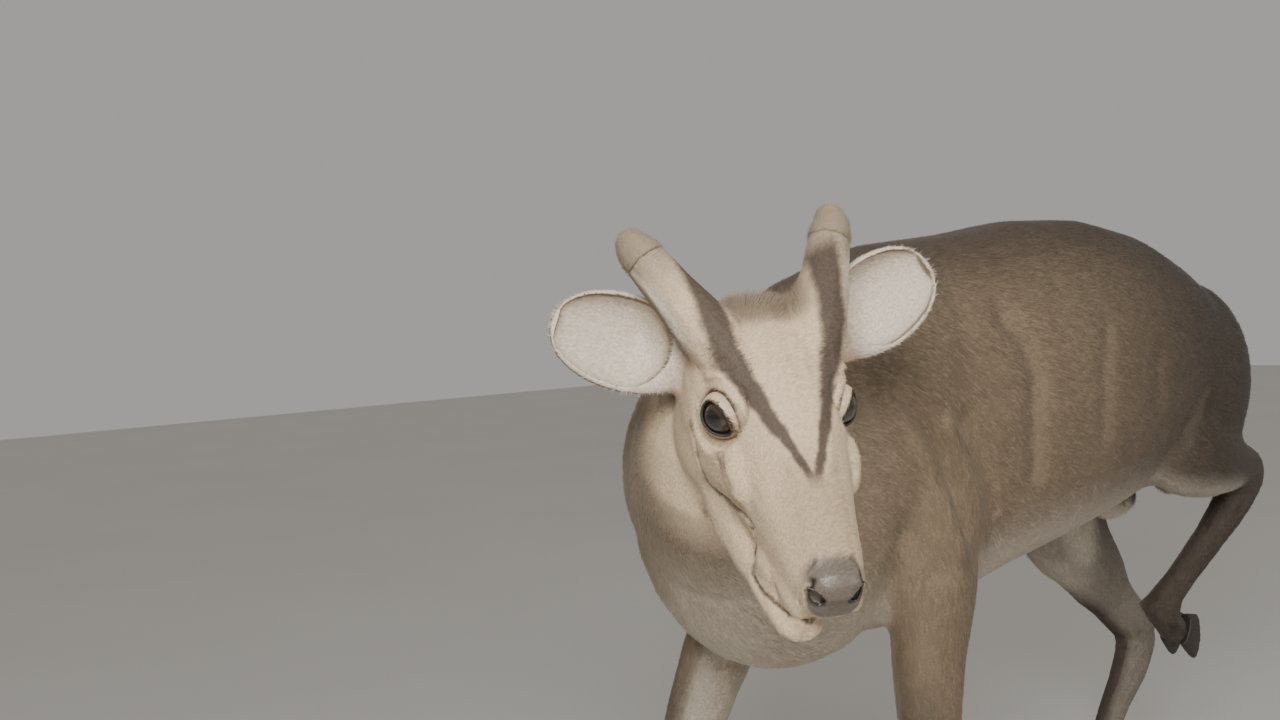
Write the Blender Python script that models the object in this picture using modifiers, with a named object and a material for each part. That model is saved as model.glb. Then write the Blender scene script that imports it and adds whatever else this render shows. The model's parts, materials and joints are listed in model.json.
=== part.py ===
"""A Reeves' muntjac buck, life size, pausing in mid step with its head turned to its left.

Metres, +Z up, standing on z = 0. The trunk faces -X and the animal's left side is -Y.
"""

import math

import bmesh
import bpy
from mathutils import Matrix, Vector

# Gaps and mesh finish
GAP = 0.0003
BODY_VOXEL = 0.0040
HEAD_VOXEL = 0.0019
RING_POINTS = 28
BODY_TRIANGLES = 5000
HEAD_TRIANGLES = 2500
EYE_SEGMENTS = 14

# Trunk: place along the body, belly height, back height, half width, how square the section is
TRUNK = (
    (-0.292, 0.345, 0.425, 0.048, 2.0),
    (-0.262, 0.300, 0.462, 0.068, 2.1),
    (-0.212, 0.258, 0.496, 0.079, 2.2),
    (-0.142, 0.252, 0.519, 0.084, 2.2),
    (-0.052, 0.272, 0.527, 0.094, 2.2),
    (0.020, 0.283, 0.537, 0.100, 2.2),
    (0.090, 0.294, 0.539, 0.100, 2.2),
    (0.150, 0.308, 0.530, 0.096, 2.2),
    (0.200, 0.322, 0.511, 0.090, 2.2),
    (0.250, 0.340, 0.478, 0.078, 2.1),
    (0.288, 0.362, 0.438, 0.050, 2.0),
)

# Brisket and base of the neck
CHEST_CENTRE = Vector((-0.232, 0.004, 0.356))
CHEST_RADII = (0.101, 0.086, 0.114)

# Head: the point midway between the eyes, how far it is turned to its left, and how far the nose drops
EYE_LINE = Vector((-0.372, -0.140, 0.423))
HEAD_TURN = math.radians(62.8)
NOSE_DROP = math.radians(39.1)

# Head profile ahead of the eye line: distance, top, underside, half width, squareness
SKULL = (
    (-0.078, 0.013, -0.018, 0.018, 2.0),
    (-0.066, 0.024, -0.036, 0.032, 2.1),
    (-0.044, 0.036, -0.050, 0.040, 2.2),
    (-0.018, 0.036, -0.057, 0.0425, 2.2),
    (0.006, 0.031, -0.056, 0.0380, 2.1),
    (0.027, 0.024, -0.050, 0.0300, 2.05),
    (0.047, 0.016, -0.043, 0.0250, 2.2),
    (0.066, 0.009, -0.0395, 0.0210, 2.3),
    (0.083, 0.003, -0.0345, 0.0185, 2.4),
    (0.096, -0.003, -0.0315, 0.0160, 2.4),
    (0.103, -0.009, -0.0265, 0.0110, 2.2),
)
EYE_RADIUS = 0.0112
EYE_SIDE = 0.0272
EYE_FORWARD = 0.001
EYE_UP = 0.006
LID_THICKNESS = 0.0022
SOCKET_GAP = 0.0005

# The lower jaw, slid to the right as in chewing: place in head coordinates, half height and half width
JAW = (
    ((-0.024, -0.0020, -0.0440), 0.0220, 0.0290),
    ((0.004, -0.0035, -0.0450), 0.0215, 0.0300),
    ((0.025, -0.0050, -0.0455), 0.0205, 0.0275),
    ((0.045, -0.0065, -0.0455), 0.0155, 0.0225),
    ((0.065, -0.0085, -0.0430), 0.0105, 0.0175),
    ((0.083, -0.0100, -0.0400), 0.0085, 0.0145),
    ((0.096, -0.0105, -0.0385), 0.0070, 0.0115),
    ((0.1025, -0.0105, -0.0375), 0.0045, 0.0070),
)

# The line of the mouth from the right corner round the front to the left one, and the groove's half size
MOUTH_LINE = (
    (0.0500, -0.0235, -0.0225),
    (0.0560, -0.0240, -0.0320),
    (0.0640, -0.0235, -0.0395),
    (0.0740, -0.0215, -0.0390),
    (0.0840, -0.0190, -0.0355),
    (0.0920, -0.0150, -0.0330),
    (0.0990, -0.0090, -0.0312),
    (0.1025, 0.0000, -0.0300),
    (0.1000, 0.0065, -0.0305),
    (0.0900, 0.0105, -0.0345),
    (0.0780, 0.0130, -0.0385),
    (0.0650, 0.0170, -0.0400),
    (0.0540, 0.0225, -0.0320),
)
MOUTH_DEPTH = 0.0020
MOUTH_HEIGHT = 0.0011
MOUTH_POINTS = 10

# Pedicles and antlers, in head coordinates: forward, to the left, up
PEDICLE_ROOT = {1: Vector((-0.012, 0.018, 0.020)), -1: Vector((-0.012, -0.018, 0.020))}
PEDICLE_TOP = {1: Vector((-0.077, 0.042, 0.0485)), -1: Vector((-0.072, -0.055, 0.044))}
PEDICLE_RADIUS = 0.0150
ANTLER_TIP = {1: Vector((-0.096, 0.0475, 0.0560)), -1: Vector((-0.088, -0.064, 0.050))}
ANTLER_RADIUS = 0.0092
ANTLER_POINTS = 16

# Ears, in head coordinates
EAR_ROOT = {1: Vector((-0.045, 0.032, 0.004)), -1: Vector((-0.042, -0.0235, -0.002))}
EAR_AXIS = {1: Vector((-0.42, 0.86, 0.29)), -1: Vector((-0.295, -0.926, 0.184))}
EAR_FACING = Vector((0.66, 0.10, 0.74))
EAR_LENGTH = 0.084
EAR_HALF_WIDTH = 0.0265
EAR_ROOT_RADIUS = 0.0125
EAR_WALL = 0.0026
EAR_CUT = 0.018

# The ear's cup, as shares of its length: where it begins, how far it widens, and its sections
EAR_CUP_START = 0.255
EAR_CUP_RAMP = 0.20
EAR_CUP_ROWS = (0.26, 0.275, 0.30, 0.34, 0.39, 0.45, 0.54, 0.64, 0.74, 0.83, 0.90, 0.945, 0.962)

# Points around the ear and sections along it
EAR_POINTS = 18
EAR_ROWS = 9

# Tail: centre points from the root to the tip, with half depth and half width
TAIL = (
    ((0.255, 0.0, 0.438), 0.018, 0.022),
    ((0.290, 0.0, 0.432), 0.016, 0.023),
    ((0.314, 0.0, 0.405), 0.0135, 0.025),
    ((0.325, 0.0, 0.368), 0.0125, 0.024),
    ((0.330, 0.0, 0.334), 0.0100, 0.018),
    ((0.331, 0.0, 0.312), 0.0050, 0.008),
)
TAIL_CUT = 0.303
NAPE_HEIGHT = 0.052
THROAT_DEPTH = 0.085

# Claws of one foot, in foot coordinates with the toe at +X and the sole at z = 0
CLAW_STATIONS = (
    (-0.0135, 0.0040, 0.014),
    (-0.0090, 0.0060, 0.026),
    (0.0000, 0.0066, 0.030),
    (0.0090, 0.0060, 0.024),
    (0.0160, 0.0046, 0.0145),
    (0.0215, 0.0026, 0.0070),
    (0.0235, 0.0010, 0.0030),
)
CLAW_SIDE = 0.0072
CLAW_SPLAY = math.radians(5)
CORONET_HEIGHT = 0.0175
CORONET_SLOPE = math.radians(17)
DEWCLAW_RADIUS = 0.0048
DEWCLAW_BACK = 0.0130
DEWCLAW_SIDE = 0.0085
DEWCLAW_DROP = 0.0080

# Legs: path from the body down to the coronet as (point, half fore and aft, half across),
# the joint between the upper and the lower node, the cut under the body, and the foot
FORE_LEFT = {
    "name": "fore_left",
    "path": (
        ((-0.146, -0.046, 0.400), 0.040, 0.024),
        ((-0.152, -0.058, 0.345), 0.046, 0.028),
        ((-0.164, -0.066, 0.295), 0.040, 0.0275),
        ((-0.175, -0.070, 0.252), 0.0295, 0.0235),
        ((-0.181, -0.073, 0.212), 0.0240, 0.0200),
        ((-0.185, -0.075, 0.180), 0.0200, 0.0175),
        ((-0.187, -0.077, 0.150), 0.0185, 0.0175),
        ((-0.190, -0.079, 0.122), 0.0135, 0.0130),
        ((-0.193, -0.082, 0.088), 0.0115, 0.0110),
        ((-0.196, -0.084, 0.056), 0.0145, 0.0138),
        ((-0.206, -0.085, 0.036), 0.0120, 0.0125),
    ),
    "joint": 6,
    "cut": 0.236,
    "side": (-0.150, -0.030),
    "foot": ((-0.215, -0.086, 0.0), math.radians(188), 0.0),
}
FORE_RIGHT = {
    "name": "fore_right",
    "path": (
        ((-0.158, 0.046, 0.400), 0.040, 0.024),
        ((-0.174, 0.057, 0.350), 0.047, 0.029),
        ((-0.196, 0.061, 0.300), 0.041, 0.028),
        ((-0.224, 0.063, 0.260), 0.031, 0.0235),
        ((-0.250, 0.064, 0.216), 0.0245, 0.0200),
        ((-0.268, 0.065, 0.180), 0.0200, 0.0175),
        ((-0.282, 0.066, 0.150), 0.0185, 0.0175),
        ((-0.293, 0.066, 0.122), 0.0135, 0.0130),
        ((-0.304, 0.066, 0.088), 0.0115, 0.0110),
        ((-0.313, 0.066, 0.056), 0.0145, 0.0138),
        ((-0.324, 0.066, 0.036), 0.0120, 0.0125),
    ),
    "joint": 6,
    "cut": 0.236,
    "side": (0.030, 0.150),
    "foot": ((-0.333, 0.066, 0.0), math.radians(176), 0.0),
}
HIND_RIGHT = {
    "name": "hind_right",
    "path": (
        ((0.160, 0.040, 0.385), 0.056, 0.030),
        ((0.150, 0.050, 0.330), 0.060, 0.035),
        ((0.172, 0.050, 0.275), 0.051, 0.031),
        ((0.208, 0.047, 0.232), 0.036, 0.025),
        ((0.246, 0.045, 0.190), 0.0240, 0.0180),
        ((0.279, 0.044, 0.158), 0.0225, 0.0170),
        ((0.266, 0.043, 0.128), 0.0200, 0.0150),
        ((0.236, 0.042, 0.100), 0.0150, 0.0125),
        ((0.208, 0.040, 0.072), 0.0130, 0.0115),
        ((0.188, 0.038, 0.052), 0.0155, 0.0138),
        ((0.174, 0.037, 0.036), 0.0125, 0.0125),
    ),
    "joint": 5,
    "cut": 0.262,
    "side": (0.004, 0.120),
    "foot": ((0.163, 0.036, 0.0), math.radians(178), 0.0),
}
HIND_LEFT = {
    "name": "hind_left",
    "path": (
        ((0.150, -0.050, 0.372), 0.036, 0.022),
        ((0.142, -0.072, 0.350), 0.038, 0.024),
        ((0.180, -0.074, 0.338), 0.035, 0.024),
        ((0.222, -0.070, 0.330), 0.029, 0.021),
        ((0.262, -0.064, 0.322), 0.0215, 0.0165),
        ((0.291, -0.059, 0.312), 0.0205, 0.0160),
        ((0.271, -0.055, 0.288), 0.0180, 0.0150),
        ((0.236, -0.049, 0.259), 0.0150, 0.0125),
        ((0.198, -0.042, 0.230), 0.0135, 0.0115),
        ((0.176, -0.038, 0.211), 0.0158, 0.0138),
        ((0.184, -0.038, 0.198), 0.0125, 0.0125),
    ),
    "joint": 5,
    "cut": 0.346,
    "side": (-0.110, -0.024),
    "foot": ((0.2142, -0.038, 0.1845), math.radians(180), math.radians(80)),
}
LEGS = (FORE_LEFT, FORE_RIGHT, HIND_RIGHT, HIND_LEFT)

# The raised hind leg comes off the thigh in a stepped box: behind the knee, and under the belly
RAISED_KNEE_X = 0.226
RAISED_TOE_X = 0.130
RAISED_BELLY = 0.284

# Muscle and skin masses on the trunk: centre, radii, turn about Y
MASSES = (
    ((-0.160, -0.040, 0.400), (0.070, 0.045, 0.104), math.radians(14)),
    ((-0.168, 0.040, 0.400), (0.072, 0.045, 0.104), math.radians(20)),
    ((0.205, -0.042, 0.398), (0.096, 0.050, 0.088), math.radians(-20)),
    ((0.208, 0.042, 0.388), (0.086, 0.050, 0.110), math.radians(8)),
    ((0.168, -0.004, 0.300), (0.034, 0.015, 0.018), math.radians(-8)),
    ((0.262, -0.004, 0.322), (0.021, 0.021, 0.034), 0.0),
)

# Colours and finish of the nodes
FUR = ("8F7D6B", 0.85)
FUR_PALE = ("CFC3B0", 0.85)
HORN = ("2B2522", 0.45)
EYE = ("120E0B", 0.08)
ANTLER = ("B9A78C", 0.6)


def head_matrix():
    """Head coordinates (forward, left, up) to world coordinates."""
    flat = Vector((-math.cos(HEAD_TURN), -math.sin(HEAD_TURN), 0.0))
    forward = flat * math.cos(NOSE_DROP) - Vector((0.0, 0.0, math.sin(NOSE_DROP)))
    left = Vector((0.0, 0.0, 1.0)).cross(flat)
    up = forward.cross(left)
    return Matrix.Translation(EYE_LINE) @ Matrix((forward, left, up)).transposed().to_4x4()


def frame_matrix(origin, z_axis, x_hint):
    """A frame at the origin with its Z along z_axis and its X as near x_hint as can be."""
    z = Vector(z_axis).normalized()
    x = (Vector(x_hint) - z * Vector(x_hint).dot(z)).normalized()
    return Matrix.Translation(origin) @ Matrix((x, z.cross(x), z)).transposed().to_4x4()


def mirrored(vector, side):
    return Vector((vector[0], vector[1] * side, vector[2]))


def new_object(name, bm, collection):
    mesh = bpy.data.meshes.new(name)
    bmesh.ops.recalc_face_normals(bm, faces=bm.faces)
    bm.to_mesh(mesh)
    bm.free()
    obj = bpy.data.objects.new(name, mesh)
    collection.objects.link(obj)
    return obj


def loft(name, rings, collection):
    """A closed tube through rings of points, with a fan over each end."""
    bm = bmesh.new()
    loops = [[bm.verts.new(point) for point in ring] for ring in rings]
    for first, second in zip(loops, loops[1:]):
        count = len(first)
        for i in range(count):
            j = (i + 1) % count
            bm.faces.new((first[i], first[j], second[j], second[i]))
    for loop in (loops[0], loops[-1]):
        middle = bm.verts.new(sum((v.co for v in loop), Vector()) / len(loop))
        for i in range(len(loop)):
            bm.faces.new((loop[i], loop[(i + 1) % len(loop)], middle))
    return new_object(name, bm, collection)


def superellipse(angle, power):
    """A point on a rounded square outline of unit half size."""
    c, s = math.cos(angle), math.sin(angle)
    return (
        math.copysign(abs(s) ** (2 / power), s),
        math.copysign(abs(c) ** (2 / power), c),
    )


def profile_rings(stations, matrix, forward_sign):
    """Rings of a form given by stations of place, top, underside, half width and squareness."""
    rings = []
    for place, bottom, top, half, power in stations:
        ring = []
        for i in range(RING_POINTS):
            across, high = superellipse(2 * math.pi * i / RING_POINTS, power)
            middle = (top + bottom) / 2
            point = Vector((forward_sign * place, half * across, middle + (top - bottom) / 2 * high))
            ring.append(matrix @ point)
        rings.append(ring)
    return rings


def smooth_path(stations, steps):
    """Points and half sizes of a path, filled in between its stations by a Catmull-Rom curve."""
    points = [Vector(s[0]) for s in stations]
    sizes = [Vector((s[1], s[2])) for s in stations]
    filled = []
    for i in range(len(points) - 1):
        before, after = max(i - 1, 0), min(i + 2, len(points) - 1)
        for k in range(steps):
            t = k / steps
            filled.append(
                (
                    catmull_rom(points[before], points[i], points[i + 1], points[after], t),
                    sizes[i].lerp(sizes[i + 1], t * t * (3 - 2 * t)),
                )
            )
    filled.append((points[-1], sizes[-1]))
    return filled


def catmull_rom(a, b, c, d, t):
    return 0.5 * (2 * b + (c - a) * t + (2 * a - 5 * b + 4 * c - d) * t**2 + (3 * b - a - 3 * c + d) * t**3)


def limb(name, stations, collection, across=Vector((0.0, 1.0, 0.0)), steps=3, points=RING_POINTS):
    """A tube of oval sections square to its path."""
    filled = smooth_path(stations, steps)
    rings = []
    for i, (point, size) in enumerate(filled):
        ahead = filled[min(i + 1, len(filled) - 1)][0] - filled[max(i - 1, 0)][0]
        tangent = ahead.normalized()
        side = (across - tangent * across.dot(tangent)).normalized()
        front = side.cross(tangent)
        ring = []
        for k in range(points):
            angle = 2 * math.pi * k / points
            ring.append(point + front * size[0] * math.cos(angle) + side * size[1] * math.sin(angle))
        rings.append(ring)
    return loft(name, rings, collection)


def ball(name, matrix, radii, collection, segments=24):
    """An ellipsoid."""
    bm = bmesh.new()
    scale = Matrix.Diagonal((*radii, 1.0))
    bmesh.ops.create_uvsphere(
        bm, u_segments=segments, v_segments=segments // 2, radius=1.0, matrix=matrix @ scale
    )
    return new_object(name, bm, collection)


def box(name, matrix, low, high, collection):
    """A box between two corners in the frame of the matrix."""
    low, high = Vector(low), Vector(high)
    size = high - low
    bm = bmesh.new()
    place = matrix @ Matrix.Translation((low + high) / 2) @ Matrix.Diagonal((*size, 1.0))
    bmesh.ops.create_cube(bm, size=1.0, matrix=place)
    return new_object(name, bm, collection)


def bake(obj):
    """Turns the object's modifiers into its mesh."""
    graph = bpy.context.evaluated_depsgraph_get()
    mesh = bpy.data.meshes.new_from_object(obj.evaluated_get(graph))
    obj.modifiers.clear()
    obj.data = mesh


def remove(obj):
    bpy.data.objects.remove(obj, do_unlink=True)


def boolean(obj, other, operation):
    """Cuts, joins or trims the object by another one, which is then removed."""
    cut = obj.modifiers.new(operation.title(), "BOOLEAN")
    cut.object = other
    cut.operation = operation
    cut.solver = "EXACT"
    bake(obj)
    remove(other)


def join(obj, pieces):
    """Unites the object with a collection of closed pieces, which are then removed."""
    group = bpy.data.collections.new(obj.name + "_pieces")
    for piece in pieces:
        group.objects.link(piece)
    union = obj.modifiers.new("Union", "BOOLEAN")
    union.operand_type = "COLLECTION"
    union.collection = group
    union.operation = "UNION"
    union.solver = "EXACT"
    bake(obj)
    for piece in pieces:
        remove(piece)
    bpy.data.collections.remove(group)


def soften(obj, voxel, rounds):
    """One even skin over the joined pieces, with the creases between them eased."""
    skin = obj.modifiers.new("Remesh", "REMESH")
    skin.mode = "VOXEL"
    skin.voxel_size = voxel
    ease = obj.modifiers.new("Smooth", "SMOOTH")
    ease.factor = 0.5
    ease.iterations = rounds
    bake(obj)


def thin_out(obj, triangles):
    """Fewer faces, down to about this many triangles."""
    count = sum(len(face.vertices) - 2 for face in obj.data.polygons)
    fewer = obj.modifiers.new("Decimate", "DECIMATE")
    fewer.ratio = min(1.0, triangles / count)
    bake(obj)


def keep_largest(obj):
    """Leaves only the largest closed surface of the mesh."""
    bm = bmesh.new()
    bm.from_mesh(obj.data)
    seen, pieces = set(), []
    for start in bm.verts:
        if start in seen:
            continue
        seen.add(start)
        stack, piece = [start], []
        while stack:
            vert = stack.pop()
            piece.append(vert)
            for edge in vert.link_edges:
                other = edge.other_vert(vert)
                if other not in seen:
                    seen.add(other)
                    stack.append(other)
        pieces.append(piece)
    pieces.sort(key=len, reverse=True)
    for piece in pieces[1:]:
        bmesh.ops.delete(bm, geom=piece, context="VERTS")
    bm.to_mesh(obj.data)
    bm.free()


def copy_of(obj, name, collection):
    twin = bpy.data.objects.new(name, obj.data.copy())
    collection.objects.link(twin)
    return twin


def region(name, matrix, corners, grow, collection):
    """One closed form made of one or more boxes, each given by two corners."""
    margin = Vector((grow, grow, grow))
    boxes = []
    for low, high in corners:
        boxes.append(box(name, matrix, Vector(low) - margin, Vector(high) + margin, collection))
    if len(boxes) > 1:
        join(boxes[0], boxes[1:])
    return boxes[0]


def split(obj, name, matrix, corners, collection):
    """Takes the object's part inside the boxes out as a new object, with a thin gap between the two."""
    piece = copy_of(obj, name, collection)
    boolean(piece, region("Inside", matrix, corners, 0.0, collection), "INTERSECT")
    boolean(obj, region("Outside", matrix, corners, GAP, collection), "DIFFERENCE")
    keep_largest(piece)
    keep_largest(obj)
    return piece


def finish(obj, look):
    """Gives the node its own material and smooth shading."""
    colour, roughness = look
    material = bpy.data.materials.new(obj.name)
    material.use_nodes = True
    shader = material.node_tree.nodes["Principled BSDF"]
    linear = [((int(colour[i : i + 2], 16) / 255 + 0.055) / 1.055) ** 2.4 for i in (0, 2, 4)]
    shader.inputs["Base Color"].default_value = (*linear, 1.0)
    shader.inputs["Roughness"].default_value = roughness
    obj.data.materials.clear()
    obj.data.materials.append(material)
    obj.data.shade_smooth()
    obj.data.set_sharp_from_angle(angle=math.radians(40))


def neck_path(head):
    """Centre points and half sizes of the neck, from inside the chest to inside the skull."""
    return (
        ((-0.165, 0.000, 0.390), 0.098, 0.072),
        ((-0.226, 0.000, 0.376), 0.097, 0.078),
        ((-0.282, -0.017, 0.382), 0.086, 0.074),
        ((-0.322, -0.054, 0.399), 0.069, 0.058),
        (tuple(head @ Vector((-0.058, 0.0, -0.019))), 0.046, 0.040),
        (tuple(head @ Vector((-0.030, 0.0, -0.022))), 0.036, 0.032),
    )


def foot_matrix(leg):
    place, heading, dip = leg["foot"]
    turn = Matrix.Rotation(heading, 4, "Z") @ Matrix.Rotation(dip, 4, "Y")
    return Matrix.Translation(place) @ turn


def coronet_frame(leg):
    """The slanted plane where the claws begin, with Z up the leg."""
    slope = Matrix.Rotation(-CORONET_SLOPE, 4, "Y")
    return foot_matrix(leg) @ Matrix.Translation((0.0, 0.0, CORONET_HEIGHT)) @ slope


def leg_flesh(leg, collection):
    """The whole leg down to inside the claws."""
    foot = foot_matrix(leg)
    ends = (
        (tuple(foot @ Vector((0.000, 0.0, 0.0200))), 0.0130, 0.0138),
        (tuple(foot @ Vector((0.003, 0.0, 0.0080))), 0.0120, 0.0134),
    )
    across = foot.to_3x3() @ Vector((0.0, 1.0, 0.0))
    flesh = limb("Leg_" + leg["name"], leg["path"] + ends, collection, across)
    fetlock, cannon = Vector(leg["path"][-2][0]), Vector(leg["path"][-3][0])
    down = frame_matrix(fetlock, fetlock - cannon, foot.to_3x3() @ Vector((-1.0, 0.0, 0.0)))
    claws = []
    for side in (1, -1):
        place = down @ Matrix.Translation((DEWCLAW_BACK, side * DEWCLAW_SIDE, DEWCLAW_DROP))
        radii = (DEWCLAW_RADIUS, DEWCLAW_RADIUS, DEWCLAW_RADIUS * 1.5)
        claws.append(ball("Dewclaw", place, radii, collection, 12))
    join(flesh, claws)
    return flesh


def claw(name, leg, side, collection):
    """One flat-soled claw, cut off under the coronet."""
    rings = []
    turn = Matrix.Rotation(side * CLAW_SPLAY, 4, "Z")
    for place, half, height in CLAW_STATIONS:
        ring = []
        for i in range(9):
            angle = math.pi * i / 8
            across = half * math.cos(angle)
            ring.append(Vector((place, across, height * math.sin(angle) ** 0.7)))
        rings.append([turn @ (point + Vector((0.0, side * CLAW_SIDE, 0.0))) for point in ring])
    matrix = foot_matrix(leg)
    obj = loft(name, [[matrix @ point for point in ring] for ring in rings], collection)
    above = box("Above", coronet_frame(leg), (-0.05, -0.05, -GAP), (0.05, 0.05, 0.06), collection)
    boolean(obj, above, "DIFFERENCE")
    keep_largest(obj)
    return obj


def build_body(head, work):
    """Trunk, neck, legs and tail as one skin."""
    body = loft("Body", profile_rings(TRUNK, Matrix.Identity(4), 1.0), work)
    pieces = [ball("Chest", Matrix.Translation(CHEST_CENTRE), CHEST_RADII, work)]
    pieces.append(limb("Neck", neck_path(head), work, Vector((0.35, -0.90, 0.0)).normalized(), 4))
    for number, (centre, radii, turn) in enumerate(MASSES):
        matrix = Matrix.Translation(centre) @ Matrix.Rotation(turn, 4, "Y")
        pieces.append(ball(f"Mass{number}", matrix, radii, work))
    pieces.append(limb("Tail", TAIL, work))
    pieces += [leg_flesh(leg, work) for leg in LEGS]
    join(body, pieces)
    soften(body, BODY_VOXEL, 16)
    thin_out(body, BODY_TRIANGLES)
    return body


def ear_frame(side, head):
    """The ear's own frame at its root: Z to the tip, X out of the opening."""
    axis = (head.to_3x3() @ EAR_AXIS[side]).normalized()
    return frame_matrix(head @ EAR_ROOT[side], axis, head.to_3x3() @ mirrored(EAR_FACING, side))


def ear_section(frame, t, grow=1.0):
    """The outer outline of the ear at one place along it."""
    half = ear_half_width(t) * grow
    before = half * (1.0 - 0.72 * min(t / 0.28, 1.0))
    return ear_ring(frame, t, half, half * (1.0 - 0.42 * t), before)


def ear_root(frame, work):
    """The solid root of the ear, from inside the skull to just past the cut."""
    end = EAR_CUT / EAR_LENGTH
    first = ear_ring(frame, -0.17, EAR_ROOT_RADIUS, EAR_ROOT_RADIUS, EAR_ROOT_RADIUS)
    rings = [first, ear_section(frame, 0.0), ear_section(frame, end * 0.5), ear_section(frame, end + 0.06)]
    return loft("Ear_root", rings, work)


def ear_room(frame, work):
    """The space beyond the ear root's flat end."""
    end = EAR_CUT / EAR_LENGTH
    return loft("Ear_room", [ear_section(frame, end, 1.25), ear_section(frame, end + 0.2, 1.25)], work)


def ear(name, frame, work):
    """A cupped leaf that begins at the root's flat end."""
    start = (EAR_CUT + GAP) / EAR_LENGTH
    outer, inner = [], []
    for row in range(EAR_ROWS + 1):
        along = math.sin(math.pi / 2 * row / EAR_ROWS)
        outer.append(ear_section(frame, start + (1.0 - start) * along))
    for t in EAR_CUP_ROWS:
        ramp = min((t - EAR_CUP_START) / EAR_CUP_RAMP, 1.0)
        opened = math.sqrt(1 - (1 - ramp) ** 2)
        half = (ear_half_width(t) - EAR_WALL) * opened
        behind = max(ear_half_width(t) * (1.0 - 0.42 * t) * opened - EAR_WALL, 0.0004)
        inner.append(ear_ring(frame, t, half, behind, 0.030))
    obj = loft(name, outer, work)
    boolean(obj, loft("Ear_cup", inner, work), "DIFFERENCE")
    keep_largest(obj)
    return obj


def ear_half_width(t):
    """Half width of the ear from its root at 0 to its rounded tip at 1."""
    swell = math.sin(math.pi * min(t / 0.62, 1.0) / 2)
    return (EAR_ROOT_RADIUS + (EAR_HALF_WIDTH - EAR_ROOT_RADIUS) * swell) * math.sqrt(max(1 - t**5, 0.003))


def ear_ring(frame, t, half, behind, before):
    """An oval section of the ear, deeper behind than before."""
    ring = []
    for k in range(EAR_POINTS):
        angle = 2 * math.pi * k / EAR_POINTS
        depth = behind if math.cos(angle) > 0 else before
        ring.append(frame @ Vector((-depth * math.cos(angle), half * math.sin(angle), EAR_LENGTH * t)))
    return ring


def build_head(head, work):
    """The skull with its muzzle, brow, cheeks, pedicles and ear roots as one skin, then the fine cuts."""
    skull = loft("Head", profile_rings(head_stations(), head, 1.0), work)
    pieces = [limb("Neck_top", neck_path(head)[2:], work, Vector((0.35, -0.90, 0.0)).normalized(), 4)]

    def add(name, centre, radii, turn=0.0, axis="Y"):
        matrix = head @ Matrix.Translation(centre) @ Matrix.Rotation(turn, 4, axis)
        pieces.append(ball(name, matrix, radii, work))

    add("Nose_pad", (0.0955, 0.0, -0.0110), (0.0095, 0.0150, 0.0105), math.radians(28))
    jaw = [(tuple(head @ Vector(place)), high, wide) for place, high, wide in JAW]
    pieces.append(limb("Jaw", jaw, work, head.to_3x3() @ Vector((0.0, 1.0, 0.0))))
    for side in (1, -1):
        add("Brow", (-0.004, side * 0.0270, 0.0170), (0.0200, 0.0105, 0.0080), math.radians(6))
        eye = (EYE_FORWARD, side * EYE_SIDE, EYE_UP)
        add("Lids", eye, [EYE_RADIUS + LID_THICKNESS] * 3)
        add("Cheek", (-0.022, side * 0.0300, -0.0300), (0.0290, 0.0125, 0.0230), math.radians(14))
        add("Gland", (0.0270, side * 0.0262, -0.0050), (0.0190, 0.0085, 0.0090), math.radians(24))
        add("Lip", (0.0800, side * 0.0135, -0.0250), (0.0200, 0.0065, 0.0075), math.radians(10))
        add("Lip_fold", (0.0650, side * 0.0175, -0.0320), (0.0140, 0.0060, 0.0080), math.radians(-6))
        pieces.append(ear_root(ear_frame(side, head), work))
        root, top = PEDICLE_ROOT[side], PEDICLE_TOP[side]
        beyond = top + (top - root).normalized() * 0.006
        ridge = mirrored((0.052, 0.0070, 0.0125), side)
        pieces.append(
            limb(
                "Pedicle",
                (
                    (tuple(head @ ridge), 0.0030, 0.0036),
                    (tuple(head @ ridge.lerp(root, 0.55)), 0.0058, 0.0068),
                    (tuple(head @ root), 0.0120, 0.0125),
                    (tuple(head @ root.lerp(top, 0.35)), PEDICLE_RADIUS, PEDICLE_RADIUS),
                    (tuple(head @ root.lerp(top, 0.80)), PEDICLE_RADIUS * 0.80, PEDICLE_RADIUS * 0.80),
                    (tuple(head @ beyond), PEDICLE_RADIUS * 0.72, PEDICLE_RADIUS * 0.72),
                ),
                work,
                head.to_3x3() @ Vector((0.0, 1.0, 0.0)),
            )
        )
    join(skull, pieces)
    soften(skull, HEAD_VOXEL, 5)
    return skull


def head_stations():
    return [(place, bottom, top, half, power) for place, top, bottom, half, power in SKULL]


def face_cutters(head, work):
    """Eye openings, gland slits, nostrils and the line of the mouth."""
    cutters = []

    def pit(name, centre, radii, turn=0.0, axis="Y"):
        matrix = head @ Matrix.Translation(centre) @ Matrix.Rotation(turn, 4, axis)
        cutters.append(ball(name, matrix, radii, work, 16))

    for side in (1, -1):
        eye = Vector((EYE_FORWARD, side * EYE_SIDE, EYE_UP))
        outward = Vector((0.46, side * 0.85, 0.22)).normalized()
        opening = head @ frame_matrix(eye + outward * 0.012, outward, (1.0, 0.0, -0.28))
        cutters.append(ball("Lid_opening", opening, (0.0105, 0.0068, 0.0084), work, 18))
        pit("Gland_pit", (0.0275, side * 0.0352, -0.0068), (0.0150, 0.0045, 0.0042), math.radians(24))
        pit("Nostril", (0.1010, side * 0.0092, -0.0115), (0.0048, 0.0034, 0.0026), math.radians(38))
    lips = [(tuple(head @ Vector(place)), MOUTH_DEPTH, MOUTH_HEIGHT) for place in MOUTH_LINE]
    cutters.append(limb("Mouth", lips, work, head.to_3x3() @ Vector((0.0, 0.0, 1.0)), 2, MOUTH_POINTS))
    return cutters


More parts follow.
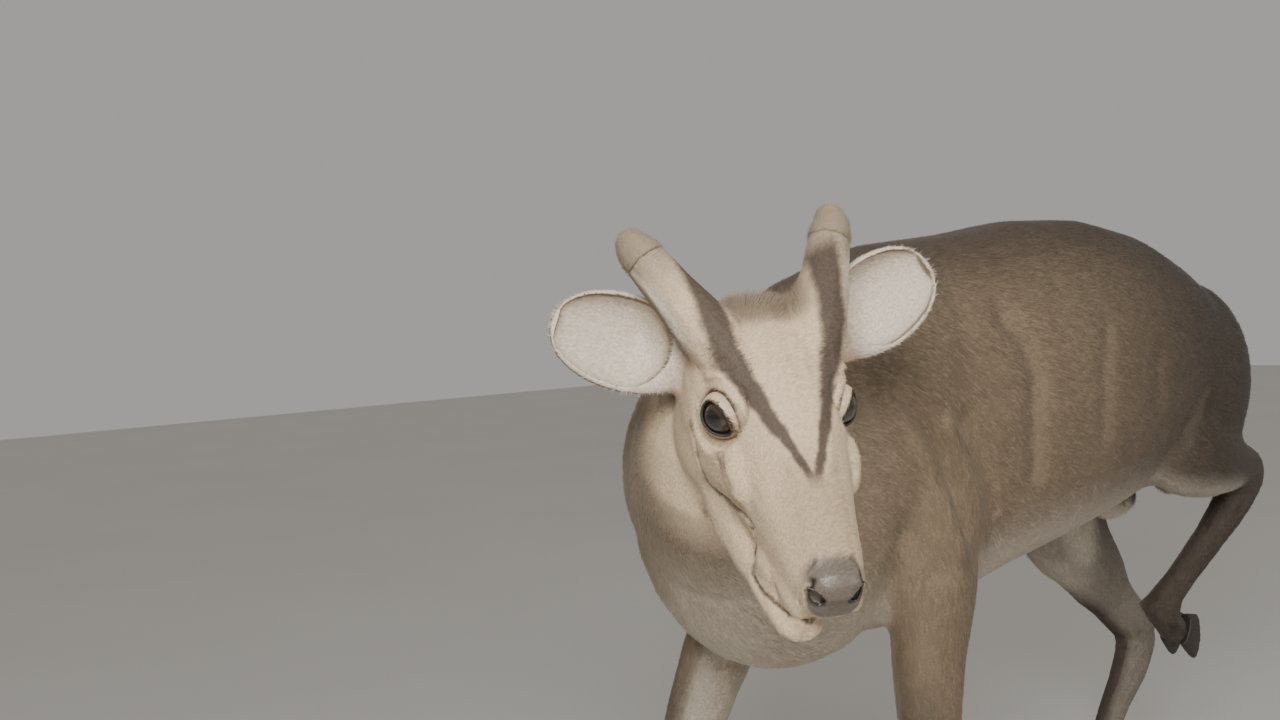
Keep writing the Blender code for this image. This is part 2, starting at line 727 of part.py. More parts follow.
def build_antler(side, head, work):
    """A short spike in velvet, with a low burr, that bends back and in."""
    root, top, tip = PEDICLE_ROOT[side], PEDICLE_TOP[side], ANTLER_TIP[side]
    axis = (top - root).normalized()
    start = top + axis * GAP
    stations = (
        (tuple(head @ start), ANTLER_RADIUS * 1.12, ANTLER_RADIUS * 1.12),
        (tuple(head @ (start + axis * 0.004)), ANTLER_RADIUS * 1.16, ANTLER_RADIUS * 1.16),
        (tuple(head @ (start + axis * 0.010)), ANTLER_RADIUS, ANTLER_RADIUS),
        (tuple(head @ start.lerp(tip, 0.55)), ANTLER_RADIUS * 0.92, ANTLER_RADIUS * 0.92),
        (tuple(head @ start.lerp(tip, 0.85)), ANTLER_RADIUS * 0.72, ANTLER_RADIUS * 0.72),
        (tuple(head @ start.lerp(tip, 0.97)), ANTLER_RADIUS * 0.42, ANTLER_RADIUS * 0.42),
        (tuple(head @ tip), ANTLER_RADIUS * 0.14, ANTLER_RADIUS * 0.14),
    )
    name = "antler_left" if side > 0 else "antler_right"
    obj = limb(name, stations, work, head.to_3x3() @ Vector((0.0, 1.0, 0.0)), 2, ANTLER_POINTS)
    flat = head @ frame_matrix(top, axis, (0.0, 1.0, 0.0))
    below = box("Below", flat, (-0.03, -0.03, -0.05), (0.03, 0.03, GAP), work)
    boolean(obj, below, "DIFFERENCE")
    return obj


def build_face(head, work):
    """Head, ears, eyes and antlers as nodes that meet at thin gaps."""
    skull = build_head(head, work)
    thin_out(skull, HEAD_TRIANGLES)
    for cutter in face_cutters(head, work):
        boolean(skull, cutter, "DIFFERENCE")
    keep_largest(skull)
    made = []
    for side in (1, -1):
        frame = ear_frame(side, head)
        boolean(skull, ear_room(frame, work), "DIFFERENCE")
        made.append(ear("ear_left" if side > 0 else "ear_right", frame, work))
    for side in (1, -1):
        top = PEDICLE_TOP[side]
        flat = head @ frame_matrix(top, top - PEDICLE_ROOT[side], (0.0, 1.0, 0.0))
        boolean(skull, box("Flat", flat, (-0.03, -0.03, 0.0), (0.03, 0.03, 0.05), work), "DIFFERENCE")
        made.append(build_antler(side, head, work))
        eye = head @ Matrix.Translation((EYE_FORWARD, side * EYE_SIDE, EYE_UP))
        name = "eye_left" if side > 0 else "eye_right"
        made.append(ball(name, eye, [EYE_RADIUS] * 3, work, EYE_SEGMENTS))
        boolean(skull, ball("Socket", eye, [EYE_RADIUS + SOCKET_GAP] * 3, work, 18), "DIFFERENCE")
    keep_largest(skull)
    skull.name = "head"
    return skull, made


def head_cut(head):
    """The plane between the head and the neck, with Z toward the nose."""
    return head @ frame_matrix((-0.050, 0.0, -0.020), (1.0, 0.0, 0.34), (0.0, 1.0, 0.0))


def leg_corners(leg):
    """The boxes that hold one leg below its cut."""
    low, high = leg["side"]
    if leg is HIND_LEFT:
        return (
            ((RAISED_KNEE_X, low, 0.10), (0.40, high, leg["cut"])),
            ((RAISED_TOE_X, low, 0.10), (0.40, high, RAISED_BELLY)),
        )
    centre = leg["path"][4][0][0]
    return (((centre - 0.16, low, -0.01), (centre + 0.16, high, leg["cut"])),)


def part_legs(body, work):
    """Takes each leg off the trunk and parts it at the knee or hock and at the coronet."""
    nodes = []
    for leg in LEGS:
        name = "leg_" + leg["name"]
        upper = split(body, name + "_upper", Matrix.Identity(4), leg_corners(leg), work)
        joint = Vector(leg["path"][leg["joint"]][0])
        above = Vector(leg["path"][leg["joint"] - 3][0])
        below = Vector(leg["path"][leg["joint"] + 3][0])
        across = (below - joint).normalized() - (above - joint).normalized()
        frame = frame_matrix(joint, across, (0.0, 1.0, 0.0))
        lower = split(upper, name + "_lower", frame, (((-0.08, -0.20, 0.0), (0.08, 0.20, 0.30)),), work)
        claws_room = box("Claws", coronet_frame(leg), (-0.03, -0.04, -0.06), (0.06, 0.04, 0.0), work)
        boolean(lower, claws_room, "DIFFERENCE")
        keep_largest(lower)
        nodes += [upper, lower]
        for side, word in ((1, "a"), (-1, "b")):
            nodes.append(claw(f"hoof_{leg['name']}_{word}", leg, side, work))
    return nodes


def centre_on_floor(nodes):
    """Moves everything so that the middle of the whole box's underside is the origin."""
    points = [vert.co for obj in nodes for vert in obj.data.vertices]
    middle = [(min(p[i] for p in points) + max(p[i] for p in points)) / 2 for i in (0, 1)]
    for obj in nodes:
        obj.data.transform(Matrix.Translation((-middle[0], -middle[1], 0.0)))


def main():
    for obj in list(bpy.data.objects):
        bpy.data.objects.remove(obj, do_unlink=True)
    parts = bpy.data.collections.new("muntjac")
    bpy.context.scene.collection.children.link(parts)

    head = head_matrix()
    body = build_body(head, parts)
    skull, face_nodes = build_face(head, parts)

    # The head ends and the neck begins at one plane behind the jaw
    cut = head_cut(head)
    behind = ((-0.20, -0.30, -0.20), (0.20, NAPE_HEIGHT, 0.0))
    under = ((-0.20, -0.30, -0.01), (0.20, GAP - THROAT_DEPTH, 0.10))
    boolean(skull, region("Behind", cut, (behind, under), 0.0, parts), "DIFFERENCE")
    ahead = box("Ahead", cut, (-0.10, -THROAT_DEPTH, -GAP), (0.10, 0.10, 0.16), parts)
    boolean(body, ahead, "DIFFERENCE")
    keep_largest(skull)
    keep_largest(body)

    legs = part_legs(body, parts)
    shoulder = frame_matrix((-0.262, -0.020, 0.400), (-0.90, -0.42, 0.10), (0.0, 0.0, 1.0))
    neck = split(body, "neck", shoulder, (((-0.16, -0.16, 0.0), (0.16, 0.16, 0.20)),), parts)
    tail_frame = Matrix.Translation((TAIL_CUT, 0.0, 0.0))
    tail = split(body, "tail", tail_frame, (((0.0, -0.035, 0.28), (0.06, 0.035, 0.46)),), parts)
    body.name = "torso"

    nodes = [body, neck, tail, skull] + legs + face_nodes
    centre_on_floor(nodes)
    for obj in nodes:
        if obj.name.startswith("hoof"):
            finish(obj, HORN)
        elif obj.name.startswith("eye"):
            finish(obj, EYE)
        elif obj.name.startswith("antler"):
            finish(obj, ANTLER)
        elif obj.name.startswith("ear"):
            finish(obj, FUR_PALE)
        else:
            finish(obj, FUR)


main()
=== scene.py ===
"""Looks of a standing Reeves' muntjac buck: skin, coat, eyes, velvet and horn, with light and camera."""

import json
import math

import bpy
import numpy as np
from mathutils import Matrix, Vector

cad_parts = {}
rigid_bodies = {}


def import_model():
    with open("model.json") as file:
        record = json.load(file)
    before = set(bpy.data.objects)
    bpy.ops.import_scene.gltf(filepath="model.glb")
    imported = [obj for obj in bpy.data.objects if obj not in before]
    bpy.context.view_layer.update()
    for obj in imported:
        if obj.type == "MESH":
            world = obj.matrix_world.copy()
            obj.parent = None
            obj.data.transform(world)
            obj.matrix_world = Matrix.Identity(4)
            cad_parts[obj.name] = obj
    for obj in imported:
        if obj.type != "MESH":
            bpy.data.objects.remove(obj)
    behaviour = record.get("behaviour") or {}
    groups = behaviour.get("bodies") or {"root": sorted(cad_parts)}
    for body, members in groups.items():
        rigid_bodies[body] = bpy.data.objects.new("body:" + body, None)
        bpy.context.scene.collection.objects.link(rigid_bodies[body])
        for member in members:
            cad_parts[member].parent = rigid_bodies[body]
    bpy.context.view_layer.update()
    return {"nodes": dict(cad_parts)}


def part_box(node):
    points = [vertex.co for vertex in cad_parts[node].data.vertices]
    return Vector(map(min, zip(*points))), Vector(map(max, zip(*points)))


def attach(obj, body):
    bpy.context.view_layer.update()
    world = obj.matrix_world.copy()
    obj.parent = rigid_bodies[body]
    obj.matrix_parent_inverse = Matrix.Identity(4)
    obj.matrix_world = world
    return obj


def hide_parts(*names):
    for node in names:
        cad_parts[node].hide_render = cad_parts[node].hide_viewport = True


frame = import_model()

# ---------------------------------------------------------------- sizes

# The head's own frame: the middle of the eye line, then forward, left and up.
EYE_LINE = np.array((-0.3192, -0.0842, 0.4230))
HEAD_AXES = np.array(((-0.355, -0.690, -0.631), (0.887, -0.461, 0.005), (-0.294, -0.558, 0.776)))

# Skin grid, and how many triangles the finished skin keeps.
SKIN_VOXEL = 0.0012
SKIN_TRIANGLES = 190000
SMOOTH_ROUNDS = 110

# How far each region's facets are rounded off, and how deep the skin lies under the coat's outline.
SOFTNESS = {"trunk": 1.0, "low": 0.05, "head": 0.022, "ear": 0.025}
COAT_DEPTH = {"trunk": 0.0020, "low": 0.0008, "head": 0.0006, "ear": 0.0003}

# The tufts of each region: length, width at the root, rise of the tip and number a square metre.
TUFT_LENGTH = {"trunk": 0.0080, "low": 0.0050, "head": 0.0032, "ear": 0.0034}
TUFT_WIDTH = {"trunk": 0.00050, "low": 0.00038, "head": 0.00028, "ear": 0.00030}
TUFT_RISE = {"trunk": 0.0012, "low": 0.0006, "head": 0.0004, "ear": 0.0004}
TUFT_NUMBER = {"trunk": 420000, "low": 650000, "head": 1150000, "ear": 800000}
TUFTS_A_PIECE = 48000
# Side of the patch on the unwrap that one tuft is given, and how deep its root sits in the skin.
PATCH = 0.003
ROOT_SUNK = 0.0003
# The crown between the pedicles grows longer hair that stands up more.
CROWN_LENGTH = 0.009
CROWN_RISE = 0.004

# Fuzz on the velvet: length, width, rise and number a square metre.
FUZZ_LENGTH = 0.0024
FUZZ_WIDTH = 0.00026
FUZZ_RISE = 0.0011
FUZZ_NUMBER = 2200000.0

# Lashes of one eye: number, length, width, rise and height of the roots above the eyeball.
LASHES = 70
LASH_LENGTH = 0.0030
LASH_WIDTH = 0.00035
LASH_RISE = 0.0036
LASH_ROOT = 0.0014

# Starts of the random draws.
COAT_SEED = 11
FUZZ_SEED = 17
LASH_SEED = 31

# Ears in the head's frame: root and direction.
EARS = {
    "left": (np.array((-0.045, 0.032, 0.004)), np.array((-0.42, 0.86, 0.29))),
    "right": (np.array((-0.042, -0.0235, -0.002)), np.array((-0.295, -0.926, 0.184))),
}
EAR_LENGTH = 0.084

# Pedicles in the head's frame: root and top.
PEDICLES = (
    (np.array((-0.012, 0.018, 0.020)), np.array((-0.077, 0.042, 0.0485))),
    (np.array((-0.012, -0.018, 0.020)), np.array((-0.072, -0.055, 0.0440))),
)

# Bones of each leg from hip or shoulder to the toe.
LEGS = {
    "fore_left": ((-0.0928, 0.010, 0.400), (-0.1218, -0.014, 0.252), (-0.1338, -0.021, 0.150),
                  (-0.1428, -0.028, 0.056), (-0.1618, -0.030, 0.0)),
    "fore_right": ((-0.1048, 0.102, 0.400), (-0.1708, 0.119, 0.260), (-0.2288, 0.122, 0.150),
                   (-0.2598, 0.122, 0.056), (-0.2798, 0.122, 0.0)),
    "hind_right": ((0.2132, 0.096, 0.385), (0.2252, 0.106, 0.275), (0.3322, 0.100, 0.158),
                   (0.2412, 0.094, 0.052), (0.2162, 0.092, 0.0)),
    "hind_left": ((0.2032, 0.006, 0.372), (0.2752, -0.014, 0.330), (0.3442, -0.003, 0.312),
                  (0.2292, 0.018, 0.211), (0.2672, 0.018, 0.185)),
}

# Eyeballs, in the head's frame.
EYE_RADIUS = 0.0110
EYES = {"left": (0.001, 0.0272, 0.006), "right": (0.001, -0.0272, 0.006)}
# The way the lids open: forward, outward, up.
LIDS_OPEN = (0.60, 0.72, 0.28)
# Angles from the lids' axis to their corners, upper edge and lower edge, then from the edge to the lids'
# hidden rim and to the skin's opening. Past the last angle the skin stays as it is.
LID_CORNER = 0.82
LID_ABOVE = 0.47
LID_BELOW = 0.62
LID_REACH = 0.62
LID_SHOWN = 0.20
LID_LIMIT = 1.65
# Half the lids' thickness, and the rim's swelling.
LID_THICK = 0.0008
LID_RIM = 0.0006

# The y of the plane between both flanks.
MIDLINE = 0.0558

# Dewclaws: radius, and how far back, to each side and down from the fetlock they sit.
DEWCLAW_RADIUS = 0.0058
DEWCLAW_BACK = 0.0145
DEWCLAW_SIDE = 0.0085
DEWCLAW_DOWN = 0.008

# Folds of the loose skin on shoulder and flank: height, half width and course. Hollows are negative.
# The left flank is folded deeper.
LEFT_FOLDS = 1.35
FOLDS = (
    (0.0026, 0.0075, ((-0.1638, -0.017, 0.424), (-0.1468, -0.022, 0.408), (-0.1298, -0.026, 0.382),
                      (-0.1188, -0.029, 0.351), (-0.1098, -0.035, 0.319))),
    (-0.0034, 0.0060, ((-0.1478, -0.020, 0.423), (-0.1338, -0.025, 0.405), (-0.1148, -0.027, 0.382),
                       (-0.1028, -0.028, 0.356), (-0.0988, -0.033, 0.331))),
    (0.0028, 0.0065, ((-0.1088, -0.028, 0.397), (-0.0913, -0.027, 0.365), (-0.0781, -0.026, 0.337),
                      (-0.0670, -0.019, 0.315))),
    (-0.0024, 0.0060, ((-0.0898, -0.028, 0.399), (-0.0758, -0.029, 0.376), (-0.0648, -0.028, 0.353),
                       (-0.0568, -0.025, 0.337))),
    (-0.0042, 0.0120, ((-0.0318, -0.023, 0.463), (-0.0198, -0.030, 0.445), (-0.0138, -0.035, 0.424),
                       (-0.0178, -0.035, 0.398), (-0.0168, -0.033, 0.360))),
    (-0.0020, 0.0100, ((0.0672, -0.039, 0.451), (0.0572, -0.042, 0.420), (0.0562, -0.040, 0.376))),
    (-0.0018, 0.0110, ((0.1312, -0.043, 0.424), (0.1292, -0.042, 0.394), (0.1442, -0.037, 0.370))),
    (-0.0036, 0.0070, ((0.2152, -0.037, 0.395), (0.1972, -0.035, 0.375), (0.1832, -0.034, 0.364))),
    (-0.0040, 0.0120, ((-0.1418, -0.022, 0.331), (-0.1358, -0.029, 0.318), (-0.1328, -0.032, 0.310))),
)

# Creases of the face in its own frame: depth, half width, darkness and course. The darkness is painted
# shade along each crease; along the mouth it is also the lips' own dark skin.
CHEEK_CREASE = ((-0.009, -0.0406, -0.0092), (0.0, -0.0385, -0.0197), (0.0087, -0.0325, -0.0350),
                (0.0244, -0.0285, -0.0295), (0.0449, -0.0252, -0.0204), (0.0530, -0.0238, -0.0200))
LID_CREASE = ((-0.0085, -0.0392, 0.0045), (-0.0030, -0.0385, 0.0135), (0.0044, -0.0354, 0.0191),
              (0.0129, -0.0290, 0.0186))
MOUTH = ((0.0500, -0.0235, -0.0225), (0.0560, -0.0240, -0.0320), (0.0640, -0.0235, -0.0395),
         (0.0740, -0.0215, -0.0390), (0.0840, -0.0190, -0.0355), (0.0920, -0.0150, -0.0330),
         (0.0990, -0.0090, -0.0312), (0.1025, 0.0, -0.0300), (0.1000, 0.0065, -0.0305),
         (0.0900, 0.0105, -0.0345), (0.0780, 0.0130, -0.0385), (0.0650, 0.0170, -0.0400),
         (0.0540, 0.0225, -0.0320))
NOSTRIL = ((0.0965, -0.0128, -0.0062), (0.0988, -0.0122, -0.0098), (0.1010, -0.0100, -0.0125),
           (0.1020, -0.0075, -0.0140))
PAD_EDGE = ((0.0900, -0.0100, 0.0005), (0.0935, -0.0165, -0.0040), (0.0950, -0.0185, -0.0120),
            (0.0975, -0.0160, -0.0200))
CREASES = (
    (-0.0016, 0.0014, 0.70, CHEEK_CREASE, True),
    (-0.0009, 0.0012, 0.75, LID_CREASE, True),
    (-0.0016, 0.0011, 0.85, MOUTH, False),
    (-0.0030, 0.0018, 1.00, NOSTRIL, True),
    (-0.0010, 0.0013, 0.30, PAD_EDGE, True),
)

# The hollow between jaw and neck, which the skin bridges softly.
JAW_BACK = ((-0.0480, -0.0384, -0.0265), (-0.0311, -0.0414, -0.0235), (-0.0216, -0.0423, -0.0249),
            (-0.0135, -0.0417, -0.0278), (-0.0071, -0.0406, -0.0322), (-0.0024, -0.0384, -0.0383),
            (-0.0097, -0.0318, -0.0577), (-0.0060, -0.0293, -0.0638))
JAW_BLEND = 0.009

# ---------------------------------------------------------------- colours


def paint(code):
    """Linear red, green and blue of an sRGB hex code."""
    values = [int(code[k:k + 2], 16) / 255 for k in (0, 2, 4)]
    return np.array([v / 12.92 if v <= 0.04045 else ((v + 0.055) / 1.055) ** 2.4 for v in values])


BROWN = paint("82705A")
BACK_BROWN = paint("54473B")
FACE_BUFF = paint("D2BA9A")
PALE = paint("D9CDBB")
DARK_STRIPE = paint("4A3D33")
INNER_EAR = paint("DCCDBB")
# Dark bare skin, also used for the painted shade along the creases of the face.
BARE_SKIN_AND_SHADE = paint("2E2724")
NOSE_SKIN = paint("6E6357")
MUZZLE_TOP = paint("A08A6E")
HORN = paint("2F2823")
VELVET = paint("A2927B")
PUPIL = paint("0A090A")
IRIS = paint("3B2517")
# Painted light on the neck and painted shade on the rump, mixed into the coat.
LIT_NECK = paint("9F8C74")
SHADED_RUMP = paint("40372F")
SHIN = paint("4E443B")

# ---------------------------------------------------------------- small helpers


def step(value, low, high):
    """A smooth rise from 0 at low to 1 at high."""
    t = np.clip((value - low) / (high - low), 0, 1)
    return t * t * (3 - 2 * t)


def in_head(points):
    """Points in the head's frame: forward, left, up."""
    return (points - EYE_LINE) @ HEAD_AXES.T


def from_head(point):
    """A place of the head's frame in the shared frame."""
    return EYE_LINE + np.asarray(point) @ HEAD_AXES


def head_direction(vector):
    """A direction of the head's frame in the shared frame."""
    d = np.asarray(vector) @ HEAD_AXES
    return d / np.linalg.norm(d)


def to_segment(points, a, b):
    """Distance of each point to the line from a to b, and how far along it lies."""
    a, b = np.asarray(a, float), np.asarray(b, float)
    along = np.clip((points - a) @ (b - a) / max((b - a) @ (b - a), 1e-12), 0, 1)
    return np.linalg.norm(points - (a + along[:, None] * (b - a)), axis=1), along


def to_course(points, course):
    """Distance of each point to a line through several places, found only near it."""
    course = np.array(course, float)
    near = np.full(len(points), 1.0)
    low, high = course.min(axis=0) - 0.03, course.max(axis=0) + 0.03
    close = np.nonzero(np.all((points > low) & (points < high), axis=1))[0]
    for a, b in zip(course[:-1], course[1:]):
        off, _ = to_segment(points[close], a, b)
        near[close] = np.minimum(near[close], off)
    return near


def on_surface(course, points):
    """The course in short steps, each laid on the nearest of the points and evened out."""
    course = np.array(course, float)
    steps = [course[0]]
    for a, b in zip(course[:-1], course[1:]):
        count = max(int(np.linalg.norm(b - a) / 0.0015), 1)
        steps.extend(a + (b - a) * k / count for k in range(1, count + 1))
    steps = np.array(steps)
    low, high = steps.min(axis=0) - 0.012, steps.max(axis=0) + 0.012
    close = points[np.all((points > low) & (points < high), axis=1)]
    if not len(close):
        return course
    laid = np.array([close[np.argmin(np.sum((close - place) ** 2, axis=1))] for place in steps])
    evened = laid.copy()
    evened[1:-1] = (laid[:-2] + laid[1:-1] + laid[2:]) / 3
    return evened


def to_crease(q, course, both):
    """Distance of each point of the head to a crease that lies on its surface."""
    near = to_course(q, on_surface(course, q))
    if both:
        near = np.minimum(near, to_course(q, on_surface(across_midline(course, 0.0), q)))
    return near


def dewclaws(name, bones):
    """The places of the two dewclaws behind one fetlock."""
    cannon, fetlock, toe = (np.array(bones[k]) for k in (2, 3, 4))
    down = (fetlock - cannon) / np.linalg.norm(fetlock - cannon)
    bend = (toe - fetlock) - down * ((toe - fetlock) @ down)
    back = bend / np.linalg.norm(bend) * (1 if name == "hind_left" else -1)
    side = np.cross(down, back)
    middle = fetlock + DEWCLAW_BACK * back + DEWCLAW_DOWN * down
    return [middle + DEWCLAW_SIDE * sign * side for sign in (1, -1)]


def across_midline(course, midline):
    """The same course on the other flank."""
    return [(x, 2 * midline - y, z) for x, y, z in course]


def mix(a, b, amount):
    """Blends two sets of colours."""
    return a + (b - a) * amount[:, None]


def pick(obj):
    """Leaves only this object selected and active."""
    bpy.ops.object.select_all(action="DESELECT")
    obj.select_set(True)
    bpy.context.view_layer.objects.active = obj


def apply_modifier(obj, kind, **settings):
    """Adds one modifier with its settings and applies it."""
    pick(obj)
    modifier = obj.modifiers.new("step", kind)
    for key, value in settings.items():
        setattr(modifier, key, value)
    bpy.ops.object.modifier_apply(modifier=modifier.name)


def unwrap(obj):
    """Lays the faces of a piece out flat."""
    pick(obj)
    bpy.ops.object.mode_set(mode="EDIT")
    bpy.ops.mesh.select_all(action="SELECT")
    bpy.ops.uv.smart_project(angle_limit=math.radians(66), island_margin=0.002)
    bpy.ops.object.mode_set(mode="OBJECT")


def weigh(obj, name, values):
    """Stores one weight a vertex in a vertex group, in fifty levels."""
    group = obj.vertex_groups.new(name=name)
    levels = np.round(np.clip(values, 0, 1) * 50).astype(int)
    for level in range(1, 51):
        chosen = np.nonzero(levels == level)[0]
        if len(chosen):
            group.add(chosen.tolist(), level / 50, "REPLACE")


def positions(mesh):
    """Vertex places of a mesh."""
    out = np.empty(len(mesh.vertices) * 3, np.float32)
    mesh.vertices.foreach_get("co", out)
    return out.reshape(-1, 3).astype(float)


def vertex_normals(mesh):
    """Vertex normals of a mesh."""
    out = np.empty(len(mesh.vertices) * 3, np.float32)
    mesh.vertex_normals.foreach_get("vector", out)
    return out.reshape(-1, 3).astype(float)


def place_vertices(mesh, points):
    """Moves the vertices of a mesh."""
    mesh.vertices.foreach_set("co", points.astype(np.float32).ravel())
    mesh.update()


# ---------------------------------------------------------------- regions of the body


def regions(points):
    """How much each point belongs to the head, the ears, the lower legs and the tail, from 0 to 1."""
    q = in_head(points)
    ear = np.zeros(len(points))
    for root, axis in EARS.values():
        way = axis / np.linalg.norm(axis)
        along = (q - root) @ way
        off = np.linalg.norm(q - root - along[:, None] * way, axis=1)
        ear = np.maximum(ear, step(along, 0.010, 0.024) * (1 - step(off, 0.034, 0.040)))
    ear *= step(q[:, 2], -0.045, -0.030)
    head = step(q[:, 0], -0.095, -0.070) * step(0.6 * q[:, 0] + 0.8 * q[:, 2], -0.092, -0.060)
    head *= 1 - step(np.abs(q[:, 1]), 0.062, 0.085)
    for root, top in PEDICLES:
        off, _ = to_segment(q, root, top)
        head = np.maximum(head, 1 - step(off, 0.018, 0.026))
    head = np.maximum(head - ear, 0)
    low = np.zeros(len(points))
    for bones in LEGS.values():
        for k, (a, b) in enumerate(zip(bones[1:-1], bones[2:])):
            off, along = to_segment(points, a, b)
            reach = step(along, 0.0, 0.55) if k == 0 else 1.0
            low = np.maximum(low, (1 - step(off, 0.030, 0.042)) * reach)
    tail_low, tail_high = (np.array(c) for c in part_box("tail"))
    inside = np.all((points > tail_low - 0.004) & (points < tail_high + 0.004), axis=1)
    tail = inside * step(points[:, 0], tail_low[0], tail_low[0] + 0.02)
    trunk = np.clip(1 - head - ear - low, 0, 1)
    return {"head": head, "ear": ear, "low": low, "tail": tail, "trunk": trunk, "place": q}


# ---------------------------------------------------------------- skin

FLESH = [n for n in sorted(frame["nodes"]) if not n.startswith(("antler", "hoof", "eye"))]


def merge_flesh():
    """One closed surface out of all nodes of flesh, each swollen a hair's breadth so that they meet."""
    copies = []
    for name in FLESH:
        copy = bpy.data.objects.new("flesh_" + name, frame["nodes"][name].data.copy())
        bpy.context.scene.collection.objects.link(copy)
        pick(copy)
        bpy.ops.object.mode_set(mode="EDIT")
        bpy.ops.mesh.select_all(action="SELECT")
        bpy.ops.mesh.remove_doubles(threshold=1e-6)
        bpy.ops.transform.shrink_fatten(value=0.0003)
        bpy.ops.object.mode_set(mode="OBJECT")
        copies.append(copy)
    pick(copies[0])
    for copy in copies:
        copy.select_set(True)
    bpy.ops.object.join()
    skin = bpy.context.view_layer.objects.active
    skin.name = "skin"
    skin.data.materials.clear()
    apply_modifier(skin, "REMESH", mode="VOXEL", voxel_size=SKIN_VOXEL)
    # Only the outer surface stays: the sealed gaps between nodes go.
    outermost = int(np.argmin(positions(skin.data)[:, 0]))
    pick(skin)
    bpy.ops.object.mode_set(mode="EDIT")
    bpy.ops.mesh.select_all(action="DESELECT")
    bpy.ops.object.mode_set(mode="OBJECT")
    skin.data.vertices[outermost].select = True
    bpy.ops.object.mode_set(mode="EDIT")
    bpy.ops.mesh.select_linked()
    bpy.ops.mesh.select_all(action="INVERT")
    bpy.ops.mesh.delete(type="VERT")
    bpy.ops.object.mode_set(mode="OBJECT")
    return skin


def by_region(zone, values):
    """One number at each point, blended from a number for each region."""
    return sum(values[name] * zone[name] for name in values)


def shape_skin(skin):
    """Rounds the facets off by region, then draws the skin in by the coat's depth."""
    points = positions(skin.data)
    zone = regions(points)
    softness = by_region(zone, SOFTNESS)
    # Elbows and knees keep their shape; the hollow behind the jaw is bridged.
    softness -= 0.75 * zone["trunk"] * (1 - step(points[:, 2], 0.20, 0.30))
    left, right = (to_course(zone["place"], course) for course in (across_midline(JAW_BACK, 0.0), JAW_BACK))
    softness = np.maximum(softness, 0.9 * np.exp(-(np.minimum(left, right) / JAW_BLEND) ** 2))
    weigh(skin, "softness", softness)
    apply_modifier(skin, "SMOOTH", factor=0.5, iterations=SMOOTH_ROUNDS, vertex_group="softness")
    skin.vertex_groups.clear()
    points = positions(skin.data)
    zone = regions(points)
    depth = by_region(zone, COAT_DEPTH)
    place_vertices(skin.data, points - vertex_normals(skin.data) * depth[:, None])


def fold_skin(skin):
    """Presses in the folds of the flank and the creases of the face."""
    points, normals = positions(skin.data), vertex_normals(skin.data)
    move = np.zeros(len(points))
    for height, half, course in FOLDS:
        move += LEFT_FOLDS * height * np.exp(-(to_course(points, course) / half) ** 2)
        move += height * np.exp(-(to_course(points, across_midline(course, MIDLINE)) / half) ** 2)
    q = in_head(points)
    for depth, half, _, course, both in CREASES:
        move += depth * np.exp(-(to_crease(q, course, both) / half) ** 2)
    place_vertices(skin.data, points + normals * move[:, None])


def gaze(side, vector):
    """A direction about one eye in the shared frame: forward, outward, up."""
    sign = 1 if side == "left" else -1
    return head_direction((vector[0], sign * vector[1], vector[2]))


def eye_axes(side):
    """The way the lids open, and the ways to their front corner and to the brow."""
    out = gaze(side, LIDS_OPEN)
    front = gaze(side, (1.0, 0.0, -0.25))
    front = front - out * (front @ out)
    front /= np.linalg.norm(front)
    brow = np.cross(out, front)
    brow *= np.sign(brow @ gaze(side, (0, 0, 1)))
    return out, front, brow


def lid_edge(turn):
    """The angle of the lids' edge from their axis, at one turn from the front corner: an almond."""
    high = np.where(np.sin(turn) > 0, LID_ABOVE, LID_BELOW)
    oval = 1 / np.sqrt((np.cos(turn) / LID_CORNER) ** 2 + (np.sin(turn) / high) ** 2)
    return oval + 0.10 * np.maximum(np.cos(turn), 0) ** 12


def about_eye(axes, polar, turn):
    """Ways from an eye's centre: at an angle from the lids' axis, and square to it, at one turn."""
    out, front, brow = axes
    flat = np.cos(turn)[:, None] * front + np.sin(turn)[:, None] * brow
    return np.cos(polar)[:, None] * out + np.sin(polar)[:, None] * flat, flat


def open_lids(skin):
    """Draws the skin's eye openings wide, to an almond that lies on the lids."""
    points = positions(skin.data)
    for side in ("left", "right"):
        centre = from_head(EYES[side])
        out, front, brow = eye_axes(side)
        reach = points - centre
        far = np.linalg.norm(reach, axis=1)
        around = (far > EYE_RADIUS - 0.003) & (far < EYE_RADIUS + 0.010) & (reach @ out > -0.002)
        near = np.nonzero(around)[0]
        ways = reach[near] / far[near][:, None]
        polar = np.arccos(np.clip(ways @ out, -1, 1))
        turn = np.arctan2(ways @ brow, ways @ front)
        edge = lid_edge(turn) + LID_SHOWN
        still = step(far[near], EYE_RADIUS + 0.006, EYE_RADIUS + 0.010)
        wide = edge + polar * (LID_LIMIT - edge) / LID_LIMIT
        wide = np.where(polar < LID_LIMIT, wide + (polar - wide) * still, polar)
        pressed = np.exp(-((wide - edge) / LID_SHOWN) ** 2) * (1 - still)
        radius = far[near] + (EYE_RADIUS + 0.0011 - far[near]) * pressed
        ways, _ = about_eye((out, front, brow), wide, turn)
        points[near] = centre + ways * radius[:, None]
    place_vertices(skin.data, points)


def thin_skin(skin):
    """Fewer triangles on the trunk and legs, most of them kept on the head and ears."""
    zone = regions(positions(skin.data))
    weigh(skin, "spare", np.clip(1 - zone["head"] - zone["ear"], 0, 1))
    ratio = SKIN_TRIANGLES / (2 * len(skin.data.polygons))
    apply_modifier(skin, "DECIMATE", ratio=ratio, vertex_group="spare", vertex_group_factor=6.0,
                   use_collapse_triangulate=True)
    skin.vertex_groups.clear()


# ---------------------------------------------------------------- markings, with painted light and shade

STRIPE_FORWARD = (-0.060, -0.030, -0.016, -0.004, 0.0105, 0.024, 0.036, 0.046, 0.054)
STRIPE_SIDE = (0.033, 0.030, 0.0275, 0.0225, 0.0175, 0.0133, 0.0087, 0.005, 0.0015)
STRIPE_WIDTH_AT = (-0.055, -0.020, 0.010, 0.050)
STRIPE_WIDTH = (0.0085, 0.0072, 0.0042, 0.0022)


